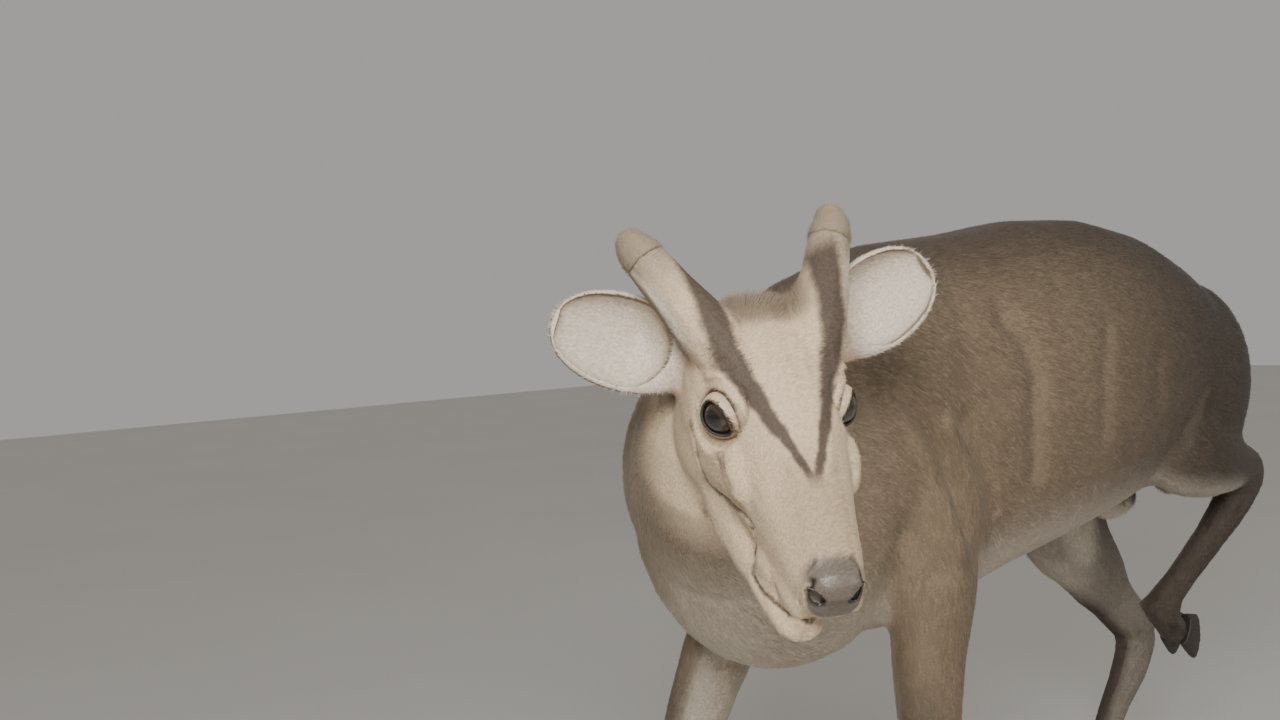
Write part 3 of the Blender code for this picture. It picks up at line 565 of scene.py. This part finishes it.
def markings_and_painted_shade(points, normals):
    """The coat's colour at each point, painted light and shade included, and how bare and wet the skin is
    there.
    """
    zone = regions(points)
    q = zone["place"]
    forward, side, up = q.T
    across = np.abs(side)
    facing = normals @ HEAD_AXES.T
    x, y, z = points.T
    colour = np.repeat(BROWN[None], len(points), 0)
    # Paler toward the neck: painted light, brighter where the body is nearer the light.
    colour = mix(colour, LIT_NECK, 1 - step(x, -0.24, -0.12))
    # Darker along the back, darker on the rump as painted shade where the light falls off toward the rear,
    # paler under the belly.
    ridge = step(normals[:, 2], 0.35, 0.95) * step(z, 0.36, 0.46)
    colour = mix(colour, BACK_BROWN, 0.75 * ridge * (1 - zone["head"]))
    colour = mix(colour, SHADED_RUMP, 0.88 * step(x, 0.00, 0.25))
    under = step(-normals[:, 2], 0.15, 0.75) * (1 - step(z, 0.30, 0.36)) * zone["trunk"]
    colour = mix(colour, PALE, 0.75 * under)
    # The sheath's own pale hair, painted paler still as painted light against the shade under the belly.
    sheath = step(x, 0.085, 0.105) * (1 - step(x, 0.225, 0.240)) * (1 - step(z, 0.296, 0.304))
    sheath *= 1 - step(np.abs(y - MIDLINE), 0.024, 0.034)
    colour = mix(colour, PALE, 0.9 * sheath * zone["trunk"])
    # The tail's underside is white and shows along its edges.
    colour = mix(colour, PALE, zone["tail"] * step(-normals[:, 0], -0.15, 0.35))
    # Front of the shanks dark, inner side of the legs pale.
    low = zone["low"]
    colour = mix(colour, SHIN, 0.7 * low * step(-normals[:, 0], -0.1, 0.6))
    inner = np.where(y > 0.056, -normals[:, 1], normals[:, 1])
    pale_legs = 0.55 - 0.30 * step(x, 0.10, 0.20)
    colour = mix(colour, PALE, pale_legs * step(inner, 0.2, 0.8) * step(0.34 - z, 0, 0.04))
    # Face: ginger buff, pale chin and throat.
    head = zone["head"]
    colour = mix(colour, FACE_BUFF, head)
    throat = step(-facing[:, 2], 0.0, 0.6) * step(-up, 0.028, 0.045)
    colour = mix(colour, PALE, 0.85 * head * throat)
    # Greyer bridge of the nose.
    bridge = step(facing[:, 2], 0.15, 0.6) * step(forward, 0.030, 0.062) * (1 - step(across, 0.010, 0.020))
    colour = mix(colour, MUZZLE_TOP, 0.7 * head * bridge)
    # The pedicles grow greyer toward the velvet.
    for root, top in PEDICLES:
        off, along = to_segment(q, root, top)
        colour = mix(colour, VELVET, head * (1 - step(off, 0.017, 0.023)) * step(along, 0.50, 0.98))
    # Two dark stripes from the pedicles that meet above the nose.
    line = np.interp(forward, STRIPE_FORWARD, STRIPE_SIDE)
    width = np.interp(forward, STRIPE_WIDTH_AT, STRIPE_WIDTH)
    ragged = 0.0003 * np.sin(forward * 330 + 1.3) + 0.0002 * np.sin(forward * 790)
    stripe = 1 - step(np.abs(across - line) + ragged, 0.65 * width, 1.30 * width)
    stripe *= step(facing[:, 2], 0.05, 0.35)
    stripe *= step(forward, -0.075, -0.060) * (1 - step(forward, 0.050, 0.060))
    colour = mix(colour, DARK_STRIPE, 0.95 * stripe * head)
    # Dark tuft on the crown between the pedicles.
    crown = (1 - step(across, 0.014, 0.026)) * step(up, 0.0, 0.02)
    crown *= 1 - step(np.abs(forward + 0.046), 0.010, 0.020)
    colour = mix(colour, BACK_BROWN, 0.65 * crown * head)
    # Inner side of the ear pale, its back brown.
    ear = zone["ear"]
    cup = ear * step(facing @ np.array((0.66, 0.0, 0.74)), 0.0, 0.5)
    colour = mix(colour, BROWN, ear)
    colour = mix(colour, INNER_EAR, cup)
    # Bare dark skin: nose pad, lid rims, gland pits, lips; the lips' line further down also carries painted
    # shade.
    pad = ((across / 0.0135) ** 2.5 + (np.abs(up + 0.0125) / 0.0125) ** 2.5) ** 0.4
    nose = head * step(forward, 0.084, 0.088) * (1 - step(pad, 0.93, 1.07))
    bare = nose.copy()
    wet = nose.copy()
    lids = np.zeros(len(points))
    for place in EYES.values():
        off = np.linalg.norm(q - np.array(place), axis=1)
        lids = np.maximum(lids, 0.6 * (1 - step(off, EYE_RADIUS + 0.0018, EYE_RADIUS + 0.0045)))
    bare = np.maximum(bare, lids * head)
    pit = (np.stack([forward, across, up], 1) - (0.0275, 0.0352, -0.0068)) / (0.0140, 0.0060, 0.0030)
    gland = 1 - step(np.linalg.norm(pit, axis=1), 0.6, 1.3)
    bare = np.maximum(bare, 0.8 * gland * head)
    colour = mix(colour, BARE_SKIN_AND_SHADE, np.maximum(0.9 * lids, 0.65 * gland) * head)
    colour = mix(colour, NOSE_SKIN, nose)
    # Dewclaws are horn.
    for name, bones in LEGS.items():
        horny = np.zeros(len(points))
        for place in dewclaws(name, bones):
            off = np.linalg.norm(points - place, axis=1)
            horny = np.maximum(horny, 1 - step(off, DEWCLAW_RADIUS, DEWCLAW_RADIUS + 0.0012))
        colour = mix(colour, HORN, horny)
        bare = np.maximum(bare, horny)
    # Painted shade along the creases of the face and in the nostrils; along the mouth also the lips' own
    # dark skin.
    for _, half, darkness, course, both in CREASES:
        line = darkness * (1 - step(to_crease(q, course, both), 0.5 * half, 1.6 * half))
        colour = mix(colour, BARE_SKIN_AND_SHADE, line)
        bare = np.maximum(bare, line)
    return colour, bare, wet, zone


# ---------------------------------------------------------------- lie of the coat


def lie_of_coat(points, normals, edges):
    """The way the hair lies at each point, along the surface."""
    def along(a, b, reach, way=None):
        """One line of the body, how far its pull reaches, and the way the hair runs beside it."""
        way = np.array(b) - np.array(a) if way is None else np.array(way)
        return a, b, reach, way / np.linalg.norm(way)

    # Along the back, down the neck and up the bridge of the nose.
    ways = [
        along((-0.14, MIDLINE, 0.38), (0.30, MIDLINE, 0.42), 0.10, (1.0, 0.0, -0.32)),
        along(from_head((-0.03, 0, -0.02)), (-0.17, 0.05, 0.385), 0.055, (0.75, 0.55, -0.45)),
        along(from_head((-0.05, 0, -0.01)), from_head((0.09, 0, -0.015)), 0.030, -HEAD_AXES[0]),
    ]
    # Along ears, pedicles, legs and tail, from root to tip.
    for root, axis in EARS.values():
        way = axis / np.linalg.norm(axis)
        ways.append(along(from_head(root + way * 0.018), from_head(root + way * EAR_LENGTH), 0.016))
    for root, top in PEDICLES:
        ways.append(along(from_head(root + (top - root) * 0.3), from_head(top), 0.012))
    for bones in LEGS.values():
        for a, b, reach in zip(bones[:-1], bones[1:], (0.050, 0.020, 0.012, 0.012)):
            ways.append(along(a, b, reach))
    tail_low, tail_high = (np.array(corner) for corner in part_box("tail"))
    mid = (tail_low[1] + tail_high[1]) / 2
    tail_root, tail_tip = (tail_low[0], mid, tail_high[2] - 0.02), (tail_high[0] - 0.01, mid, tail_low[2])
    ways.append(along(tail_root, tail_tip, 0.02, (0.35, 0, -0.95)))
    total = np.zeros((len(points), 3))
    for a, b, reach, way in ways:
        off, _ = to_segment(points, a, b)
        total += way / (np.maximum(off - reach * 0.5, 0.001) / reach)[:, None] ** 4
    total /= np.linalg.norm(total, axis=1)[:, None]
    # Evened out between neighbours on the skin.
    for _ in range(12):
        spread = np.zeros_like(total)
        for k in range(3):
            spread[:, k] = np.bincount(edges[:, 0], total[edges[:, 1], k], len(points))
            spread[:, k] += np.bincount(edges[:, 1], total[edges[:, 0], k], len(points))
        total = total + 0.5 * spread
        total /= np.linalg.norm(total, axis=1)[:, None]
    total -= normals * np.sum(total * normals, axis=1)[:, None]
    return total / np.maximum(np.linalg.norm(total, axis=1)[:, None], 1e-6)


# ---------------------------------------------------------------- tufts


def hair_sizes(zone, bare):
    """Length, width, rise and number a square metre of the tufts, by region."""
    length, width, rise, many = (by_region(zone, values)
                                 for values in (TUFT_LENGTH, TUFT_WIDTH, TUFT_RISE, TUFT_NUMBER))
    # Shorter toward the nose, longer on the crown.
    forward, side, up = zone["place"].T
    length *= 1 - 0.45 * zone["head"] * step(forward, 0.02, 0.09)
    crown = zone["head"] * (1 - step(np.abs(side), 0.012, 0.024)) * step(up, 0, 0.02)
    crown *= 1 - step(np.abs(forward + 0.05), 0.012, 0.024)
    length += CROWN_LENGTH * crown
    rise += CROWN_RISE * crown
    many *= 1 - step(bare, 0.3, 0.6)
    return length, width, rise, many


def triangles(mesh):
    """Corner vertices and loops of each triangle, and its area."""
    mesh.calc_loop_triangles()
    count = len(mesh.loop_triangles)
    corners, loops = np.empty(count * 3, np.int32), np.empty(count * 3, np.int32)
    mesh.loop_triangles.foreach_get("vertices", corners)
    mesh.loop_triangles.foreach_get("loops", loops)
    corners, loops = corners.reshape(-1, 3), loops.reshape(-1, 3)
    a, b, c = (positions(mesh)[corners[:, k]] for k in range(3))
    return corners, loops, np.linalg.norm(np.cross(b - a, c - a), axis=1) / 2


def cover(base, name, lies, colour, sizes, many, hair, seed):
    """Tufts all over one piece, as joined meshes whose places, sizes and colours follow its vertices."""
    rng = np.random.default_rng(seed)
    mesh = base.data
    points, normals = positions(mesh), vertex_normals(mesh)
    corners, loops, areas = triangles(mesh)
    uv = np.empty(len(mesh.loops) * 2, np.float32)
    mesh.uv_layers[0].data.foreach_get("uv", uv)
    drawn = rng.poisson(areas * many[corners].mean(axis=1))
    chosen = rng.permutation(np.repeat(np.arange(len(areas)), drawn))
    weight = rng.dirichlet((1, 1, 1), len(chosen))
    roots, ups, flow, tones = (np.einsum("nk,nkj->nj", weight, values[corners[chosen]])
                               for values in (points, normals, lies, colour))
    measures = [np.einsum("nk,nk->n", weight, v[corners[chosen]]) for v in sizes]
    patches = np.einsum("nk,nkj->nj", weight, uv.reshape(-1, 2)[loops[chosen]])
    ups /= np.linalg.norm(ups, axis=1)[:, None]
    flow -= ups * np.sum(flow * ups, axis=1)[:, None]
    flow /= np.maximum(np.linalg.norm(flow, axis=1)[:, None], 1e-6)
    order = np.argsort(roots[:, 0], kind="stable")
    pieces = []
    for k, start in enumerate(range(0, len(order), TUFTS_A_PIECE)):
        part = order[start:start + TUFTS_A_PIECE]
        pieces.append(build_tufts("%s_%d" % (name, k + 1), roots[part], ups[part], flow[part],
                                  [v[part] for v in measures], tones[part], patches[part], rng))
        pieces[-1].data.materials.append(hair)
    return pieces


def build_tufts(name, roots, normals, lies, sizes, colours, patches, rng):
    """One joined mesh of closed tufts, each a thin three-sided spike that lies along the coat."""
    count = len(roots)
    length, width, rise = sizes
    turn = rng.normal(0, 0.16, count)
    across = np.cross(normals, lies)
    along = lies * np.cos(turn)[:, None] + across * np.sin(turn)[:, None]
    across = np.cross(normals, along)
    length = length * rng.uniform(0.7, 1.25, count)
    rise = rise * rng.uniform(0.40, 1.15, count)
    width = width * rng.uniform(0.75, 1.25, count)
    root = roots - normals * ROOT_SUNK
    corners = np.empty((count, 4, 3))
    for k, (sideways, high) in enumerate(((-0.5, 0.0), (0.5, 0.0), (0.0, 0.6))):
        corners[:, k] = root + across * (sideways * width)[:, None] + normals * (high * width)[:, None]
    corners[:, 3] = roots + along * length[:, None] + normals * rise[:, None]
    faces = np.array(((0, 1, 3), (1, 2, 3), (2, 0, 3), (0, 2, 1)))
    index = (faces[None] + 4 * np.arange(count)[:, None, None]).reshape(-1, 3)
    mesh = bpy.data.meshes.new(name)
    mesh.vertices.add(count * 4)
    mesh.vertices.foreach_set("co", corners.astype(np.float32).ravel())
    mesh.loops.add(len(index) * 3)
    mesh.loops.foreach_set("vertex_index", index.astype(np.int32).ravel())
    mesh.polygons.add(len(index))
    mesh.polygons.foreach_set("loop_start", (np.arange(len(index)) * 3).astype(np.int32))
    mesh.polygons.foreach_set("use_smooth", np.ones(len(index), bool))
    mesh.update(calc_edges=True)
    # Each tuft's patch lies about its root's place on the skin's own unwrap.
    flat = np.array(((-0.5, -0.5), (0.5, -0.5), (0.0, -0.4), (0.0, 0.5)))
    spots = patches[:, None, :] + flat[None] * PATCH
    uv = mesh.uv_layers.new(name="OFBake")
    uv.data.foreach_set("uv", spots.reshape(-1, 2)[index.ravel()].astype(np.float32).ravel())
    root_to_tip = np.array((0.92, 0.92, 0.92, 1.04))[None, :, None]
    shade = root_to_tip * rng.uniform(0.93, 1.07, count)[:, None, None]
    tones = np.ones((count, 4, 4), np.float32)
    tones[:, :, :3] = colours[:, None, :] * shade
    layer = mesh.color_attributes.new(name="coat_colour", type="FLOAT_COLOR", domain="POINT")
    layer.data.foreach_set("color", tones.ravel())
    # The hair takes the light much as the coat's surface does, so that it reads as one smooth pile.
    rounded = np.array((-0.25, 0.25, 0.0, 0.0))[None, :, None]
    facing = normals[:, None, :] + rounded * across[:, None, :]
    facing /= np.linalg.norm(facing, axis=2)[:, :, None]
    mesh.normals_split_custom_set_from_vertices(facing.reshape(-1, 3).tolist())
    obj = bpy.data.objects.new(name, mesh)
    bpy.context.scene.collection.objects.link(obj)
    return obj


def paint_vertices(obj, name, values):
    """Stores a colour or a number on each vertex of a piece."""
    if values.ndim == 2:
        layer = obj.data.color_attributes.new(name=name, type="FLOAT_COLOR", domain="POINT")
        full = np.ones((len(values), 4), np.float32)
        full[:, :3] = values
        layer.data.foreach_set("color", full.ravel())
    else:
        layer = obj.data.attributes.new(name=name, type="FLOAT", domain="POINT")
        layer.data.foreach_set("value", values.astype(np.float32))


# ---------------------------------------------------------------- materials


class Paintbox:
    """Builds one material, node by node."""

    def __init__(self, name):
        self.material = bpy.data.materials.new(name)
        self.material.use_nodes = True
        self.tree = self.material.node_tree
        self.surface = self.tree.nodes["Principled BSDF"]
        self.place = self.add("ShaderNodeTexCoord").outputs["Object"]

    def add(self, kind, settings=None, **links):
        """One node with its settings; keyword links feed its sockets."""
        node = self.tree.nodes.new(kind)
        for key, value in (settings or {}).items():
            if isinstance(key, int) or key in node.inputs:
                node.inputs[key].default_value = value
            else:
                setattr(node, key, value)
        for key, source in links.items():
            self.tree.links.new(source, node.inputs[key.replace("_", " ")])
        return node

    def join(self, source, target):
        """Links one socket to another."""
        self.tree.links.new(source, target)

    def tone(self, layer, shade):
        """Colours the surface as a layer of the mesh says, lighter and darker with one pattern."""
        tone = self.add("ShaderNodeAttribute", {"attribute_name": layer})
        toned = self.add("ShaderNodeVectorMath", {"operation": "SCALE"})
        self.join(tone.outputs["Color"], toned.inputs[0])
        self.join(shade.outputs["Result"], toned.inputs["Scale"])
        self.join(toned.outputs["Vector"], self.surface.inputs["Base Color"])


def coat_material():
    """Dry deer hair: brown with the markings and painted shade stored on the mesh, a dull soft gleam."""
    box = Paintbox("coat_hair")
    # Clouds 15 mm across, where the coat's colour is a little lighter and darker at random.
    clouds = box.add("ShaderNodeTexNoise", {"Scale": 65.0, "Detail": 3.0}, Vector=box.place)
    limits = {"From Min": 0.3, "From Max": 0.7, "To Min": 0.90, "To Max": 1.08}
    shade = box.add("ShaderNodeMapRange", limits, Value=clouds.outputs["Fac"])
    box.tone("coat_colour", shade)
    box.surface.inputs["Roughness"].default_value = 0.62
    box.surface.inputs["Specular IOR Level"].default_value = 0.25
    box.surface.inputs["Sheen Weight"].default_value = 0.10
    box.surface.inputs["Sheen Roughness"].default_value = 0.5
    return box.material


def skin_material():
    """Skin under the coat with fine flat hair, bare wet skin where the mesh says so."""
    box = Paintbox("skin_and_short_hair")
    wet = box.add("ShaderNodeAttribute", {"attribute_name": "wet"})
    # Strands about 1 mm thick and 3 mm long, coarser than real hair.
    strand_scale = {"Scale": (300.0, 1100.0, 700.0)}
    stretch = box.add("ShaderNodeMapping", strand_scale, Vector=box.place)
    strands = box.add("ShaderNodeTexNoise", {"Scale": 1.0, "Detail": 2.0}, Vector=stretch.outputs["Vector"])
    shade = box.add("ShaderNodeMapRange", {"From Min": 0.3, "From Max": 0.7, "To Min": 0.72, "To Max": 1.1},
                    Value=strands.outputs["Fac"])
    box.tone("coat_colour", shade)
    # Pebbles of the nose pad, 1.1 mm across.
    pebbles = box.add("ShaderNodeTexVoronoi", {"Scale": 900.0}, Vector=box.place)
    pebble_depth = {"Strength": 0.3, "Distance": 0.0003}
    strand_depth = {"Strength": 0.5, "Distance": 0.0006}
    pebble_bump = box.add("ShaderNodeBump", pebble_depth, Height=pebbles.outputs["Distance"])
    hair_bump = box.add("ShaderNodeBump", strand_depth, Height=strands.outputs["Fac"])
    choose = box.add("ShaderNodeMix", {"data_type": "VECTOR"})
    box.join(wet.outputs["Fac"], choose.inputs["Factor"])
    box.join(hair_bump.outputs["Normal"], choose.inputs[4])
    box.join(pebble_bump.outputs["Normal"], choose.inputs[5])
    box.join(choose.outputs[1], box.surface.inputs["Normal"])
    gloss = box.add("ShaderNodeMapRange", {"To Min": 0.75, "To Max": 0.42}, Value=wet.outputs["Fac"])
    box.join(gloss.outputs["Result"], box.surface.inputs["Roughness"])
    return box.material


def eye_material():
    """Wet eyeball: dark brown iris with fine fibres and a wide level pupil, under a clear cornea."""
    box = Paintbox("wet_eyeball")
    fibres = box.add("ShaderNodeTexNoise", {"Scale": 900.0, "Detail": 3.0}, Vector=box.place)
    shade = box.add("ShaderNodeMapRange", {"To Min": 0.6, "To Max": 1.4}, Value=fibres.outputs["Fac"])
    box.tone("eye_colour", shade)
    box.surface.inputs["Roughness"].default_value = 0.08
    box.surface.inputs["Coat Weight"].default_value = 1.0
    box.surface.inputs["Coat Roughness"].default_value = 0.02
    return box.material


def plain_grain(name, code, dark, scale, roughness, bump):
    """A grained dull material: one colour that wanders between two tones, with a fine bump."""
    box = Paintbox(name)
    grain = box.add("ShaderNodeTexNoise", {"Scale": scale, "Detail": 4.0}, Vector=box.place)
    tones = box.add("ShaderNodeMix", {"data_type": "RGBA", 6: (*paint(dark), 1), 7: (*paint(code), 1)})
    box.join(grain.outputs["Fac"], tones.inputs["Factor"])
    box.join(tones.outputs[2], box.surface.inputs["Base Color"])
    relief = box.add("ShaderNodeBump", {"Strength": 0.6, "Distance": bump}, Height=grain.outputs["Fac"])
    box.join(relief.outputs["Normal"], box.surface.inputs["Normal"])
    box.surface.inputs["Roughness"].default_value = roughness
    return box.material


# ---------------------------------------------------------------- pieces


def make_skin():
    """The skin, shaped, thinned, unwrapped and painted."""
    skin = merge_flesh()
    shape_skin(skin)
    open_lids(skin)
    fold_skin(skin)
    thin_skin(skin)
    unwrap(skin)
    bpy.ops.object.shade_smooth()
    points, normals = positions(skin.data), vertex_normals(skin.data)
    colour, _, wet, _ = markings_and_painted_shade(points, normals)
    paint_vertices(skin, "coat_colour", colour)
    paint_vertices(skin, "wet", wet)
    skin.data.materials.append(skin_material())
    return skin


def make_coat(skin, hair):
    """All tufts over the skin, in pieces."""
    mesh = skin.data
    points, normals = positions(mesh), vertex_normals(mesh)
    edges = np.empty(len(mesh.edges) * 2, np.int32)
    mesh.edges.foreach_get("vertices", edges)
    lies = lie_of_coat(points, normals, edges.reshape(-1, 2))
    colour, bare, _, zone = markings_and_painted_shade(points, normals)
    *sizes, many = hair_sizes(zone, bare)
    return cover(skin, "coat", lies, colour, sizes, many, hair, COAT_SEED)


def make_lids(side):
    """Both lids of one eye as a closed band: a ring whose points are laid on the eyeball."""
    bpy.ops.mesh.primitive_torus_add(major_segments=96, minor_segments=20,
                                     major_radius=1.0, minor_radius=0.25)
    lids = bpy.context.view_layer.objects.active
    lids.name = "lids_" + side
    ring = positions(lids.data)
    turn = np.arctan2(ring[:, 1], ring[:, 0])
    tube = np.arctan2(ring[:, 2], np.hypot(ring[:, 0], ring[:, 1]) - 1.0)
    # Round the tube: its outer half lies outside, its inner half on the ball, and the rim is thick.
    spread = (1 + np.cos(tube)) / 2
    polar = lid_edge(turn) + LID_REACH * spread ** 1.3
    radius = EYE_RADIUS + LID_THICK + LID_THICK * np.sin(tube) * (1 - 0.3 * spread)
    radius += LID_RIM * np.exp(-(spread / 0.12) ** 2) * np.sin(tube)
    ways, _ = about_eye(eye_axes(side), polar, turn)
    place_vertices(lids.data, from_head(EYES[side]) + ways * radius[:, None])
    pick(lids)
    bpy.ops.object.mode_set(mode="EDIT")
    bpy.ops.mesh.select_all(action="SELECT")
    bpy.ops.mesh.normals_make_consistent(inside=False)
    bpy.ops.object.mode_set(mode="OBJECT")
    bpy.ops.object.shade_smooth()
    hairy = step(spread, 0.14, 0.34)
    colour = mix(np.repeat(BARE_SKIN_AND_SHADE[None], len(ring), 0), FACE_BUFF, hairy)
    paint_vertices(lids, "coat_colour", colour)
    paint_vertices(lids, "wet", 0.35 * (1 - hairy))
    return lids


def make_lashes(side, hair):
    """A row of dark lashes along the upper lid."""
    rng = np.random.default_rng(LASH_SEED)
    out, front, brow = eye_axes(side)
    turn = np.linspace(0.25, 2.75, LASHES) + rng.normal(0, 0.02, LASHES)
    polar = lid_edge(turn) + rng.uniform(0.02, 0.12, LASHES)
    ways, flat = about_eye((out, front, brow), polar, turn)
    roots = from_head(EYES[side]) + ways * (EYE_RADIUS + LASH_ROOT)
    lies = 0.9 * out + 0.55 * flat - 0.35 * gaze(side, (1.0, 0.0, 0.0)) - 0.15 * brow
    lies -= ways * np.sum(lies * ways, axis=1)[:, None]
    lies /= np.linalg.norm(lies, axis=1)[:, None]
    sizes = tuple(np.full(LASHES, value) for value in (LASH_LENGTH, LASH_WIDTH, LASH_RISE))
    dark = np.repeat(BARE_SKIN_AND_SHADE[None], LASHES, 0)
    lashes = build_tufts("lashes_" + side, roots, ways, -lies, sizes, dark, np.full((LASHES, 2), 0.5), rng)
    lashes.data.materials.append(hair)
    return lashes


def cover_velvet(knob, side, hair):
    """Short dense fuzz on one antler in velvet."""
    root, top = (from_head(place) for place in PEDICLES[0 if side == "left" else 1])
    unwrap(knob)
    normals = vertex_normals(knob.data)
    way = (top - root) / np.linalg.norm(top - root)
    lies = way + 0.3 * normals
    lies -= normals * np.sum(lies * normals, axis=1)[:, None]
    count = len(normals)
    colour = np.repeat(VELVET[None], count, 0)
    *sizes, many = (np.full(count, value) for value in (FUZZ_LENGTH, FUZZ_WIDTH, FUZZ_RISE, FUZZ_NUMBER))
    return cover(knob, "fuzz_" + side, lies, colour, sizes, many, hair, FUZZ_SEED)


def make_eye(side):
    """A smooth eyeball in the place of the coarse one."""
    centre = from_head(EYES[side])
    bpy.ops.mesh.primitive_uv_sphere_add(segments=96, ring_count=64, radius=EYE_RADIUS, location=centre)
    eye = bpy.context.view_layer.objects.active
    eye.name = "eyeball_" + side
    bpy.ops.object.transform_apply(location=True, rotation=True, scale=True)
    bpy.ops.object.shade_smooth()
    out, front, brow = eye_axes(side)
    ways = (positions(eye.data) - centre) / EYE_RADIUS
    ahead, level, high = ways @ out, ways @ front, ways @ brow
    iris = (1 - step(np.hypot(level, high), 0.66, 0.74)) * step(ahead, 0, 0.1)
    pupil = (1 - step(np.hypot(level / 0.46, high / 0.30), 0.92, 1.08)) * step(ahead, 0, 0.1)
    streaks = 0.8 + 0.3 * np.sin(46 * np.arctan2(high, level)) * np.sin(17 * np.arctan2(high, level))
    colour = mix(np.repeat(BARE_SKIN_AND_SHADE[None], len(ways), 0), IRIS, iris)
    colour = mix(colour * streaks[:, None], PUPIL, pupil)
    paint_vertices(eye, "eye_colour", colour)
    # The cornea stands out a little from the ball.
    bulge = 0.0007 * step(ahead, 0.70, 0.95)
    place_vertices(eye.data, centre + ways * (EYE_RADIUS + bulge - 0.0003)[:, None])
    return eye


def finer(node, name, voxel, rounds, swell=0.0):
    """A rounded finer copy of one solid, a little fuller where it's asked for."""
    copy = bpy.data.objects.new(name, frame["nodes"][node].data.copy())
    bpy.context.scene.collection.objects.link(copy)
    copy.data.materials.clear()
    apply_modifier(copy, "REMESH", mode="VOXEL", voxel_size=voxel)
    apply_modifier(copy, "SMOOTH", factor=0.5, iterations=rounds)
    place_vertices(copy.data, positions(copy.data) + swell * vertex_normals(copy.data))
    pick(copy)
    bpy.ops.object.shade_smooth()
    return copy


bpy.ops.object.select_all(action="DESELECT")
skin = make_skin()
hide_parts(*FLESH)
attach(skin, "root")
hair = coat_material()
for tufts in make_coat(skin, hair):
    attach(tufts, "root")

eyeball = eye_material()
for side in ("left", "right"):
    eye = make_eye(side)
    eye.data.materials.append(eyeball)
    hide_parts("eye_" + side)
    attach(eye, "root")
    lids = make_lids(side)
    lids.data.materials.append(skin.data.materials[0])
    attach(lids, "root")
    lashes = make_lashes(side, hair)
    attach(lashes, "root")

velvet = plain_grain("velvet_skin", "A09079", "7F705F", 900.0, 0.85, 0.0004)
for side in ("left", "right"):
    knob = finer("antler_" + side, "velvet_" + side, 0.0008, 4, 0.0002)
    knob.data.materials.append(velvet)
    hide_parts("antler_" + side)
    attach(knob, "root")
    for fuzz in cover_velvet(knob, side, hair):
        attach(fuzz, "root")

horn = plain_grain("hoof_horn", "3A322C", "1E1A17", 500.0, 0.45, 0.0003)
for node in sorted(n for n in frame["nodes"] if n.startswith("hoof")):
    claw = finer(node, node.replace("hoof", "claw"), 0.0008, 3)
    claw.data.materials.append(horn)
    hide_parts(node)
    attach(claw, "root")

# ---------------------------------------------------------------- floor, light and camera


def make_floor():
    """A wide pale studio floor."""
    bpy.ops.mesh.primitive_plane_add(size=14, location=(0, 0, 0))
    floor = bpy.context.view_layer.objects.active
    floor.name = "studio_floor"
    # Smooth painted board, with faint clouds half a metre across and the roller's grain.
    floor.data.materials.append(plain_grain("painted_floor", "D9D6D1", "CFCCC7", 2.0, 0.9, 0.0002))


def make_light(name, place, aim, size, power):
    """A round soft light that looks at a point."""
    data = bpy.data.lights.new(name, "AREA")
    data.shape = "DISK"
    data.size = size
    data.energy = power
    lamp = bpy.data.objects.new(name, data)
    bpy.context.scene.collection.objects.link(lamp)
    lamp.location = place
    lamp.rotation_euler = (Vector(aim) - Vector(place)).to_track_quat("-Z", "Y").to_euler()


# Lights: name, place, the point they look at, size and power.
LIGHTS = (
    ("key", (-0.86, -0.60, 0.82), (-0.22, -0.02, 0.40), 0.40, 10),
    ("side_fill", (0.5, -1.7, 1.1), (0.0, 0, 0.3), 1.2, 7),
)
WORLD_GREY = "C9C7C3"
WORLD_STRENGTH = 0.68

# The camera: place, turns and lens.
CAMERA_PLACE = Vector((-0.747831, -0.507017, 0.4733))
CAMERA_YAW = 0.6835
CAMERA_PITCH = 0.0318
CAMERA_ROLL = -0.0524
CAMERA_LENS = 34.593


def make_camera():
    """The camera at the photograph's place and turn."""
    yaw, pitch, roll = CAMERA_YAW, CAMERA_PITCH, CAMERA_ROLL
    ahead = Vector((math.sin(yaw) * math.cos(pitch), math.cos(yaw) * math.cos(pitch), -math.sin(pitch)))
    level = Vector((math.cos(yaw), -math.sin(yaw), 0))
    over = level.cross(ahead)
    right = level * math.cos(roll) + over * math.sin(roll)
    up = over * math.cos(roll) - level * math.sin(roll)
    turn = Matrix((right, up, -ahead)).transposed().to_4x4()
    data = bpy.data.cameras.new("camera")
    data.lens = CAMERA_LENS
    data.sensor_width = 36
    data.clip_start = 0.01
    camera = bpy.data.objects.new("camera", data)
    bpy.context.scene.collection.objects.link(camera)
    camera.matrix_world = Matrix.Translation(CAMERA_PLACE) @ turn
    bpy.context.scene.camera = camera


make_floor()
for light in LIGHTS:
    make_light(*light)
world = bpy.data.worlds.new("studio")
world.use_nodes = True
world.node_tree.nodes["Background"].inputs["Color"].default_value = (*paint(WORLD_GREY), 1)
world.node_tree.nodes["Background"].inputs["Strength"].default_value = WORLD_STRENGTH
bpy.context.scene.world = world
make_camera()
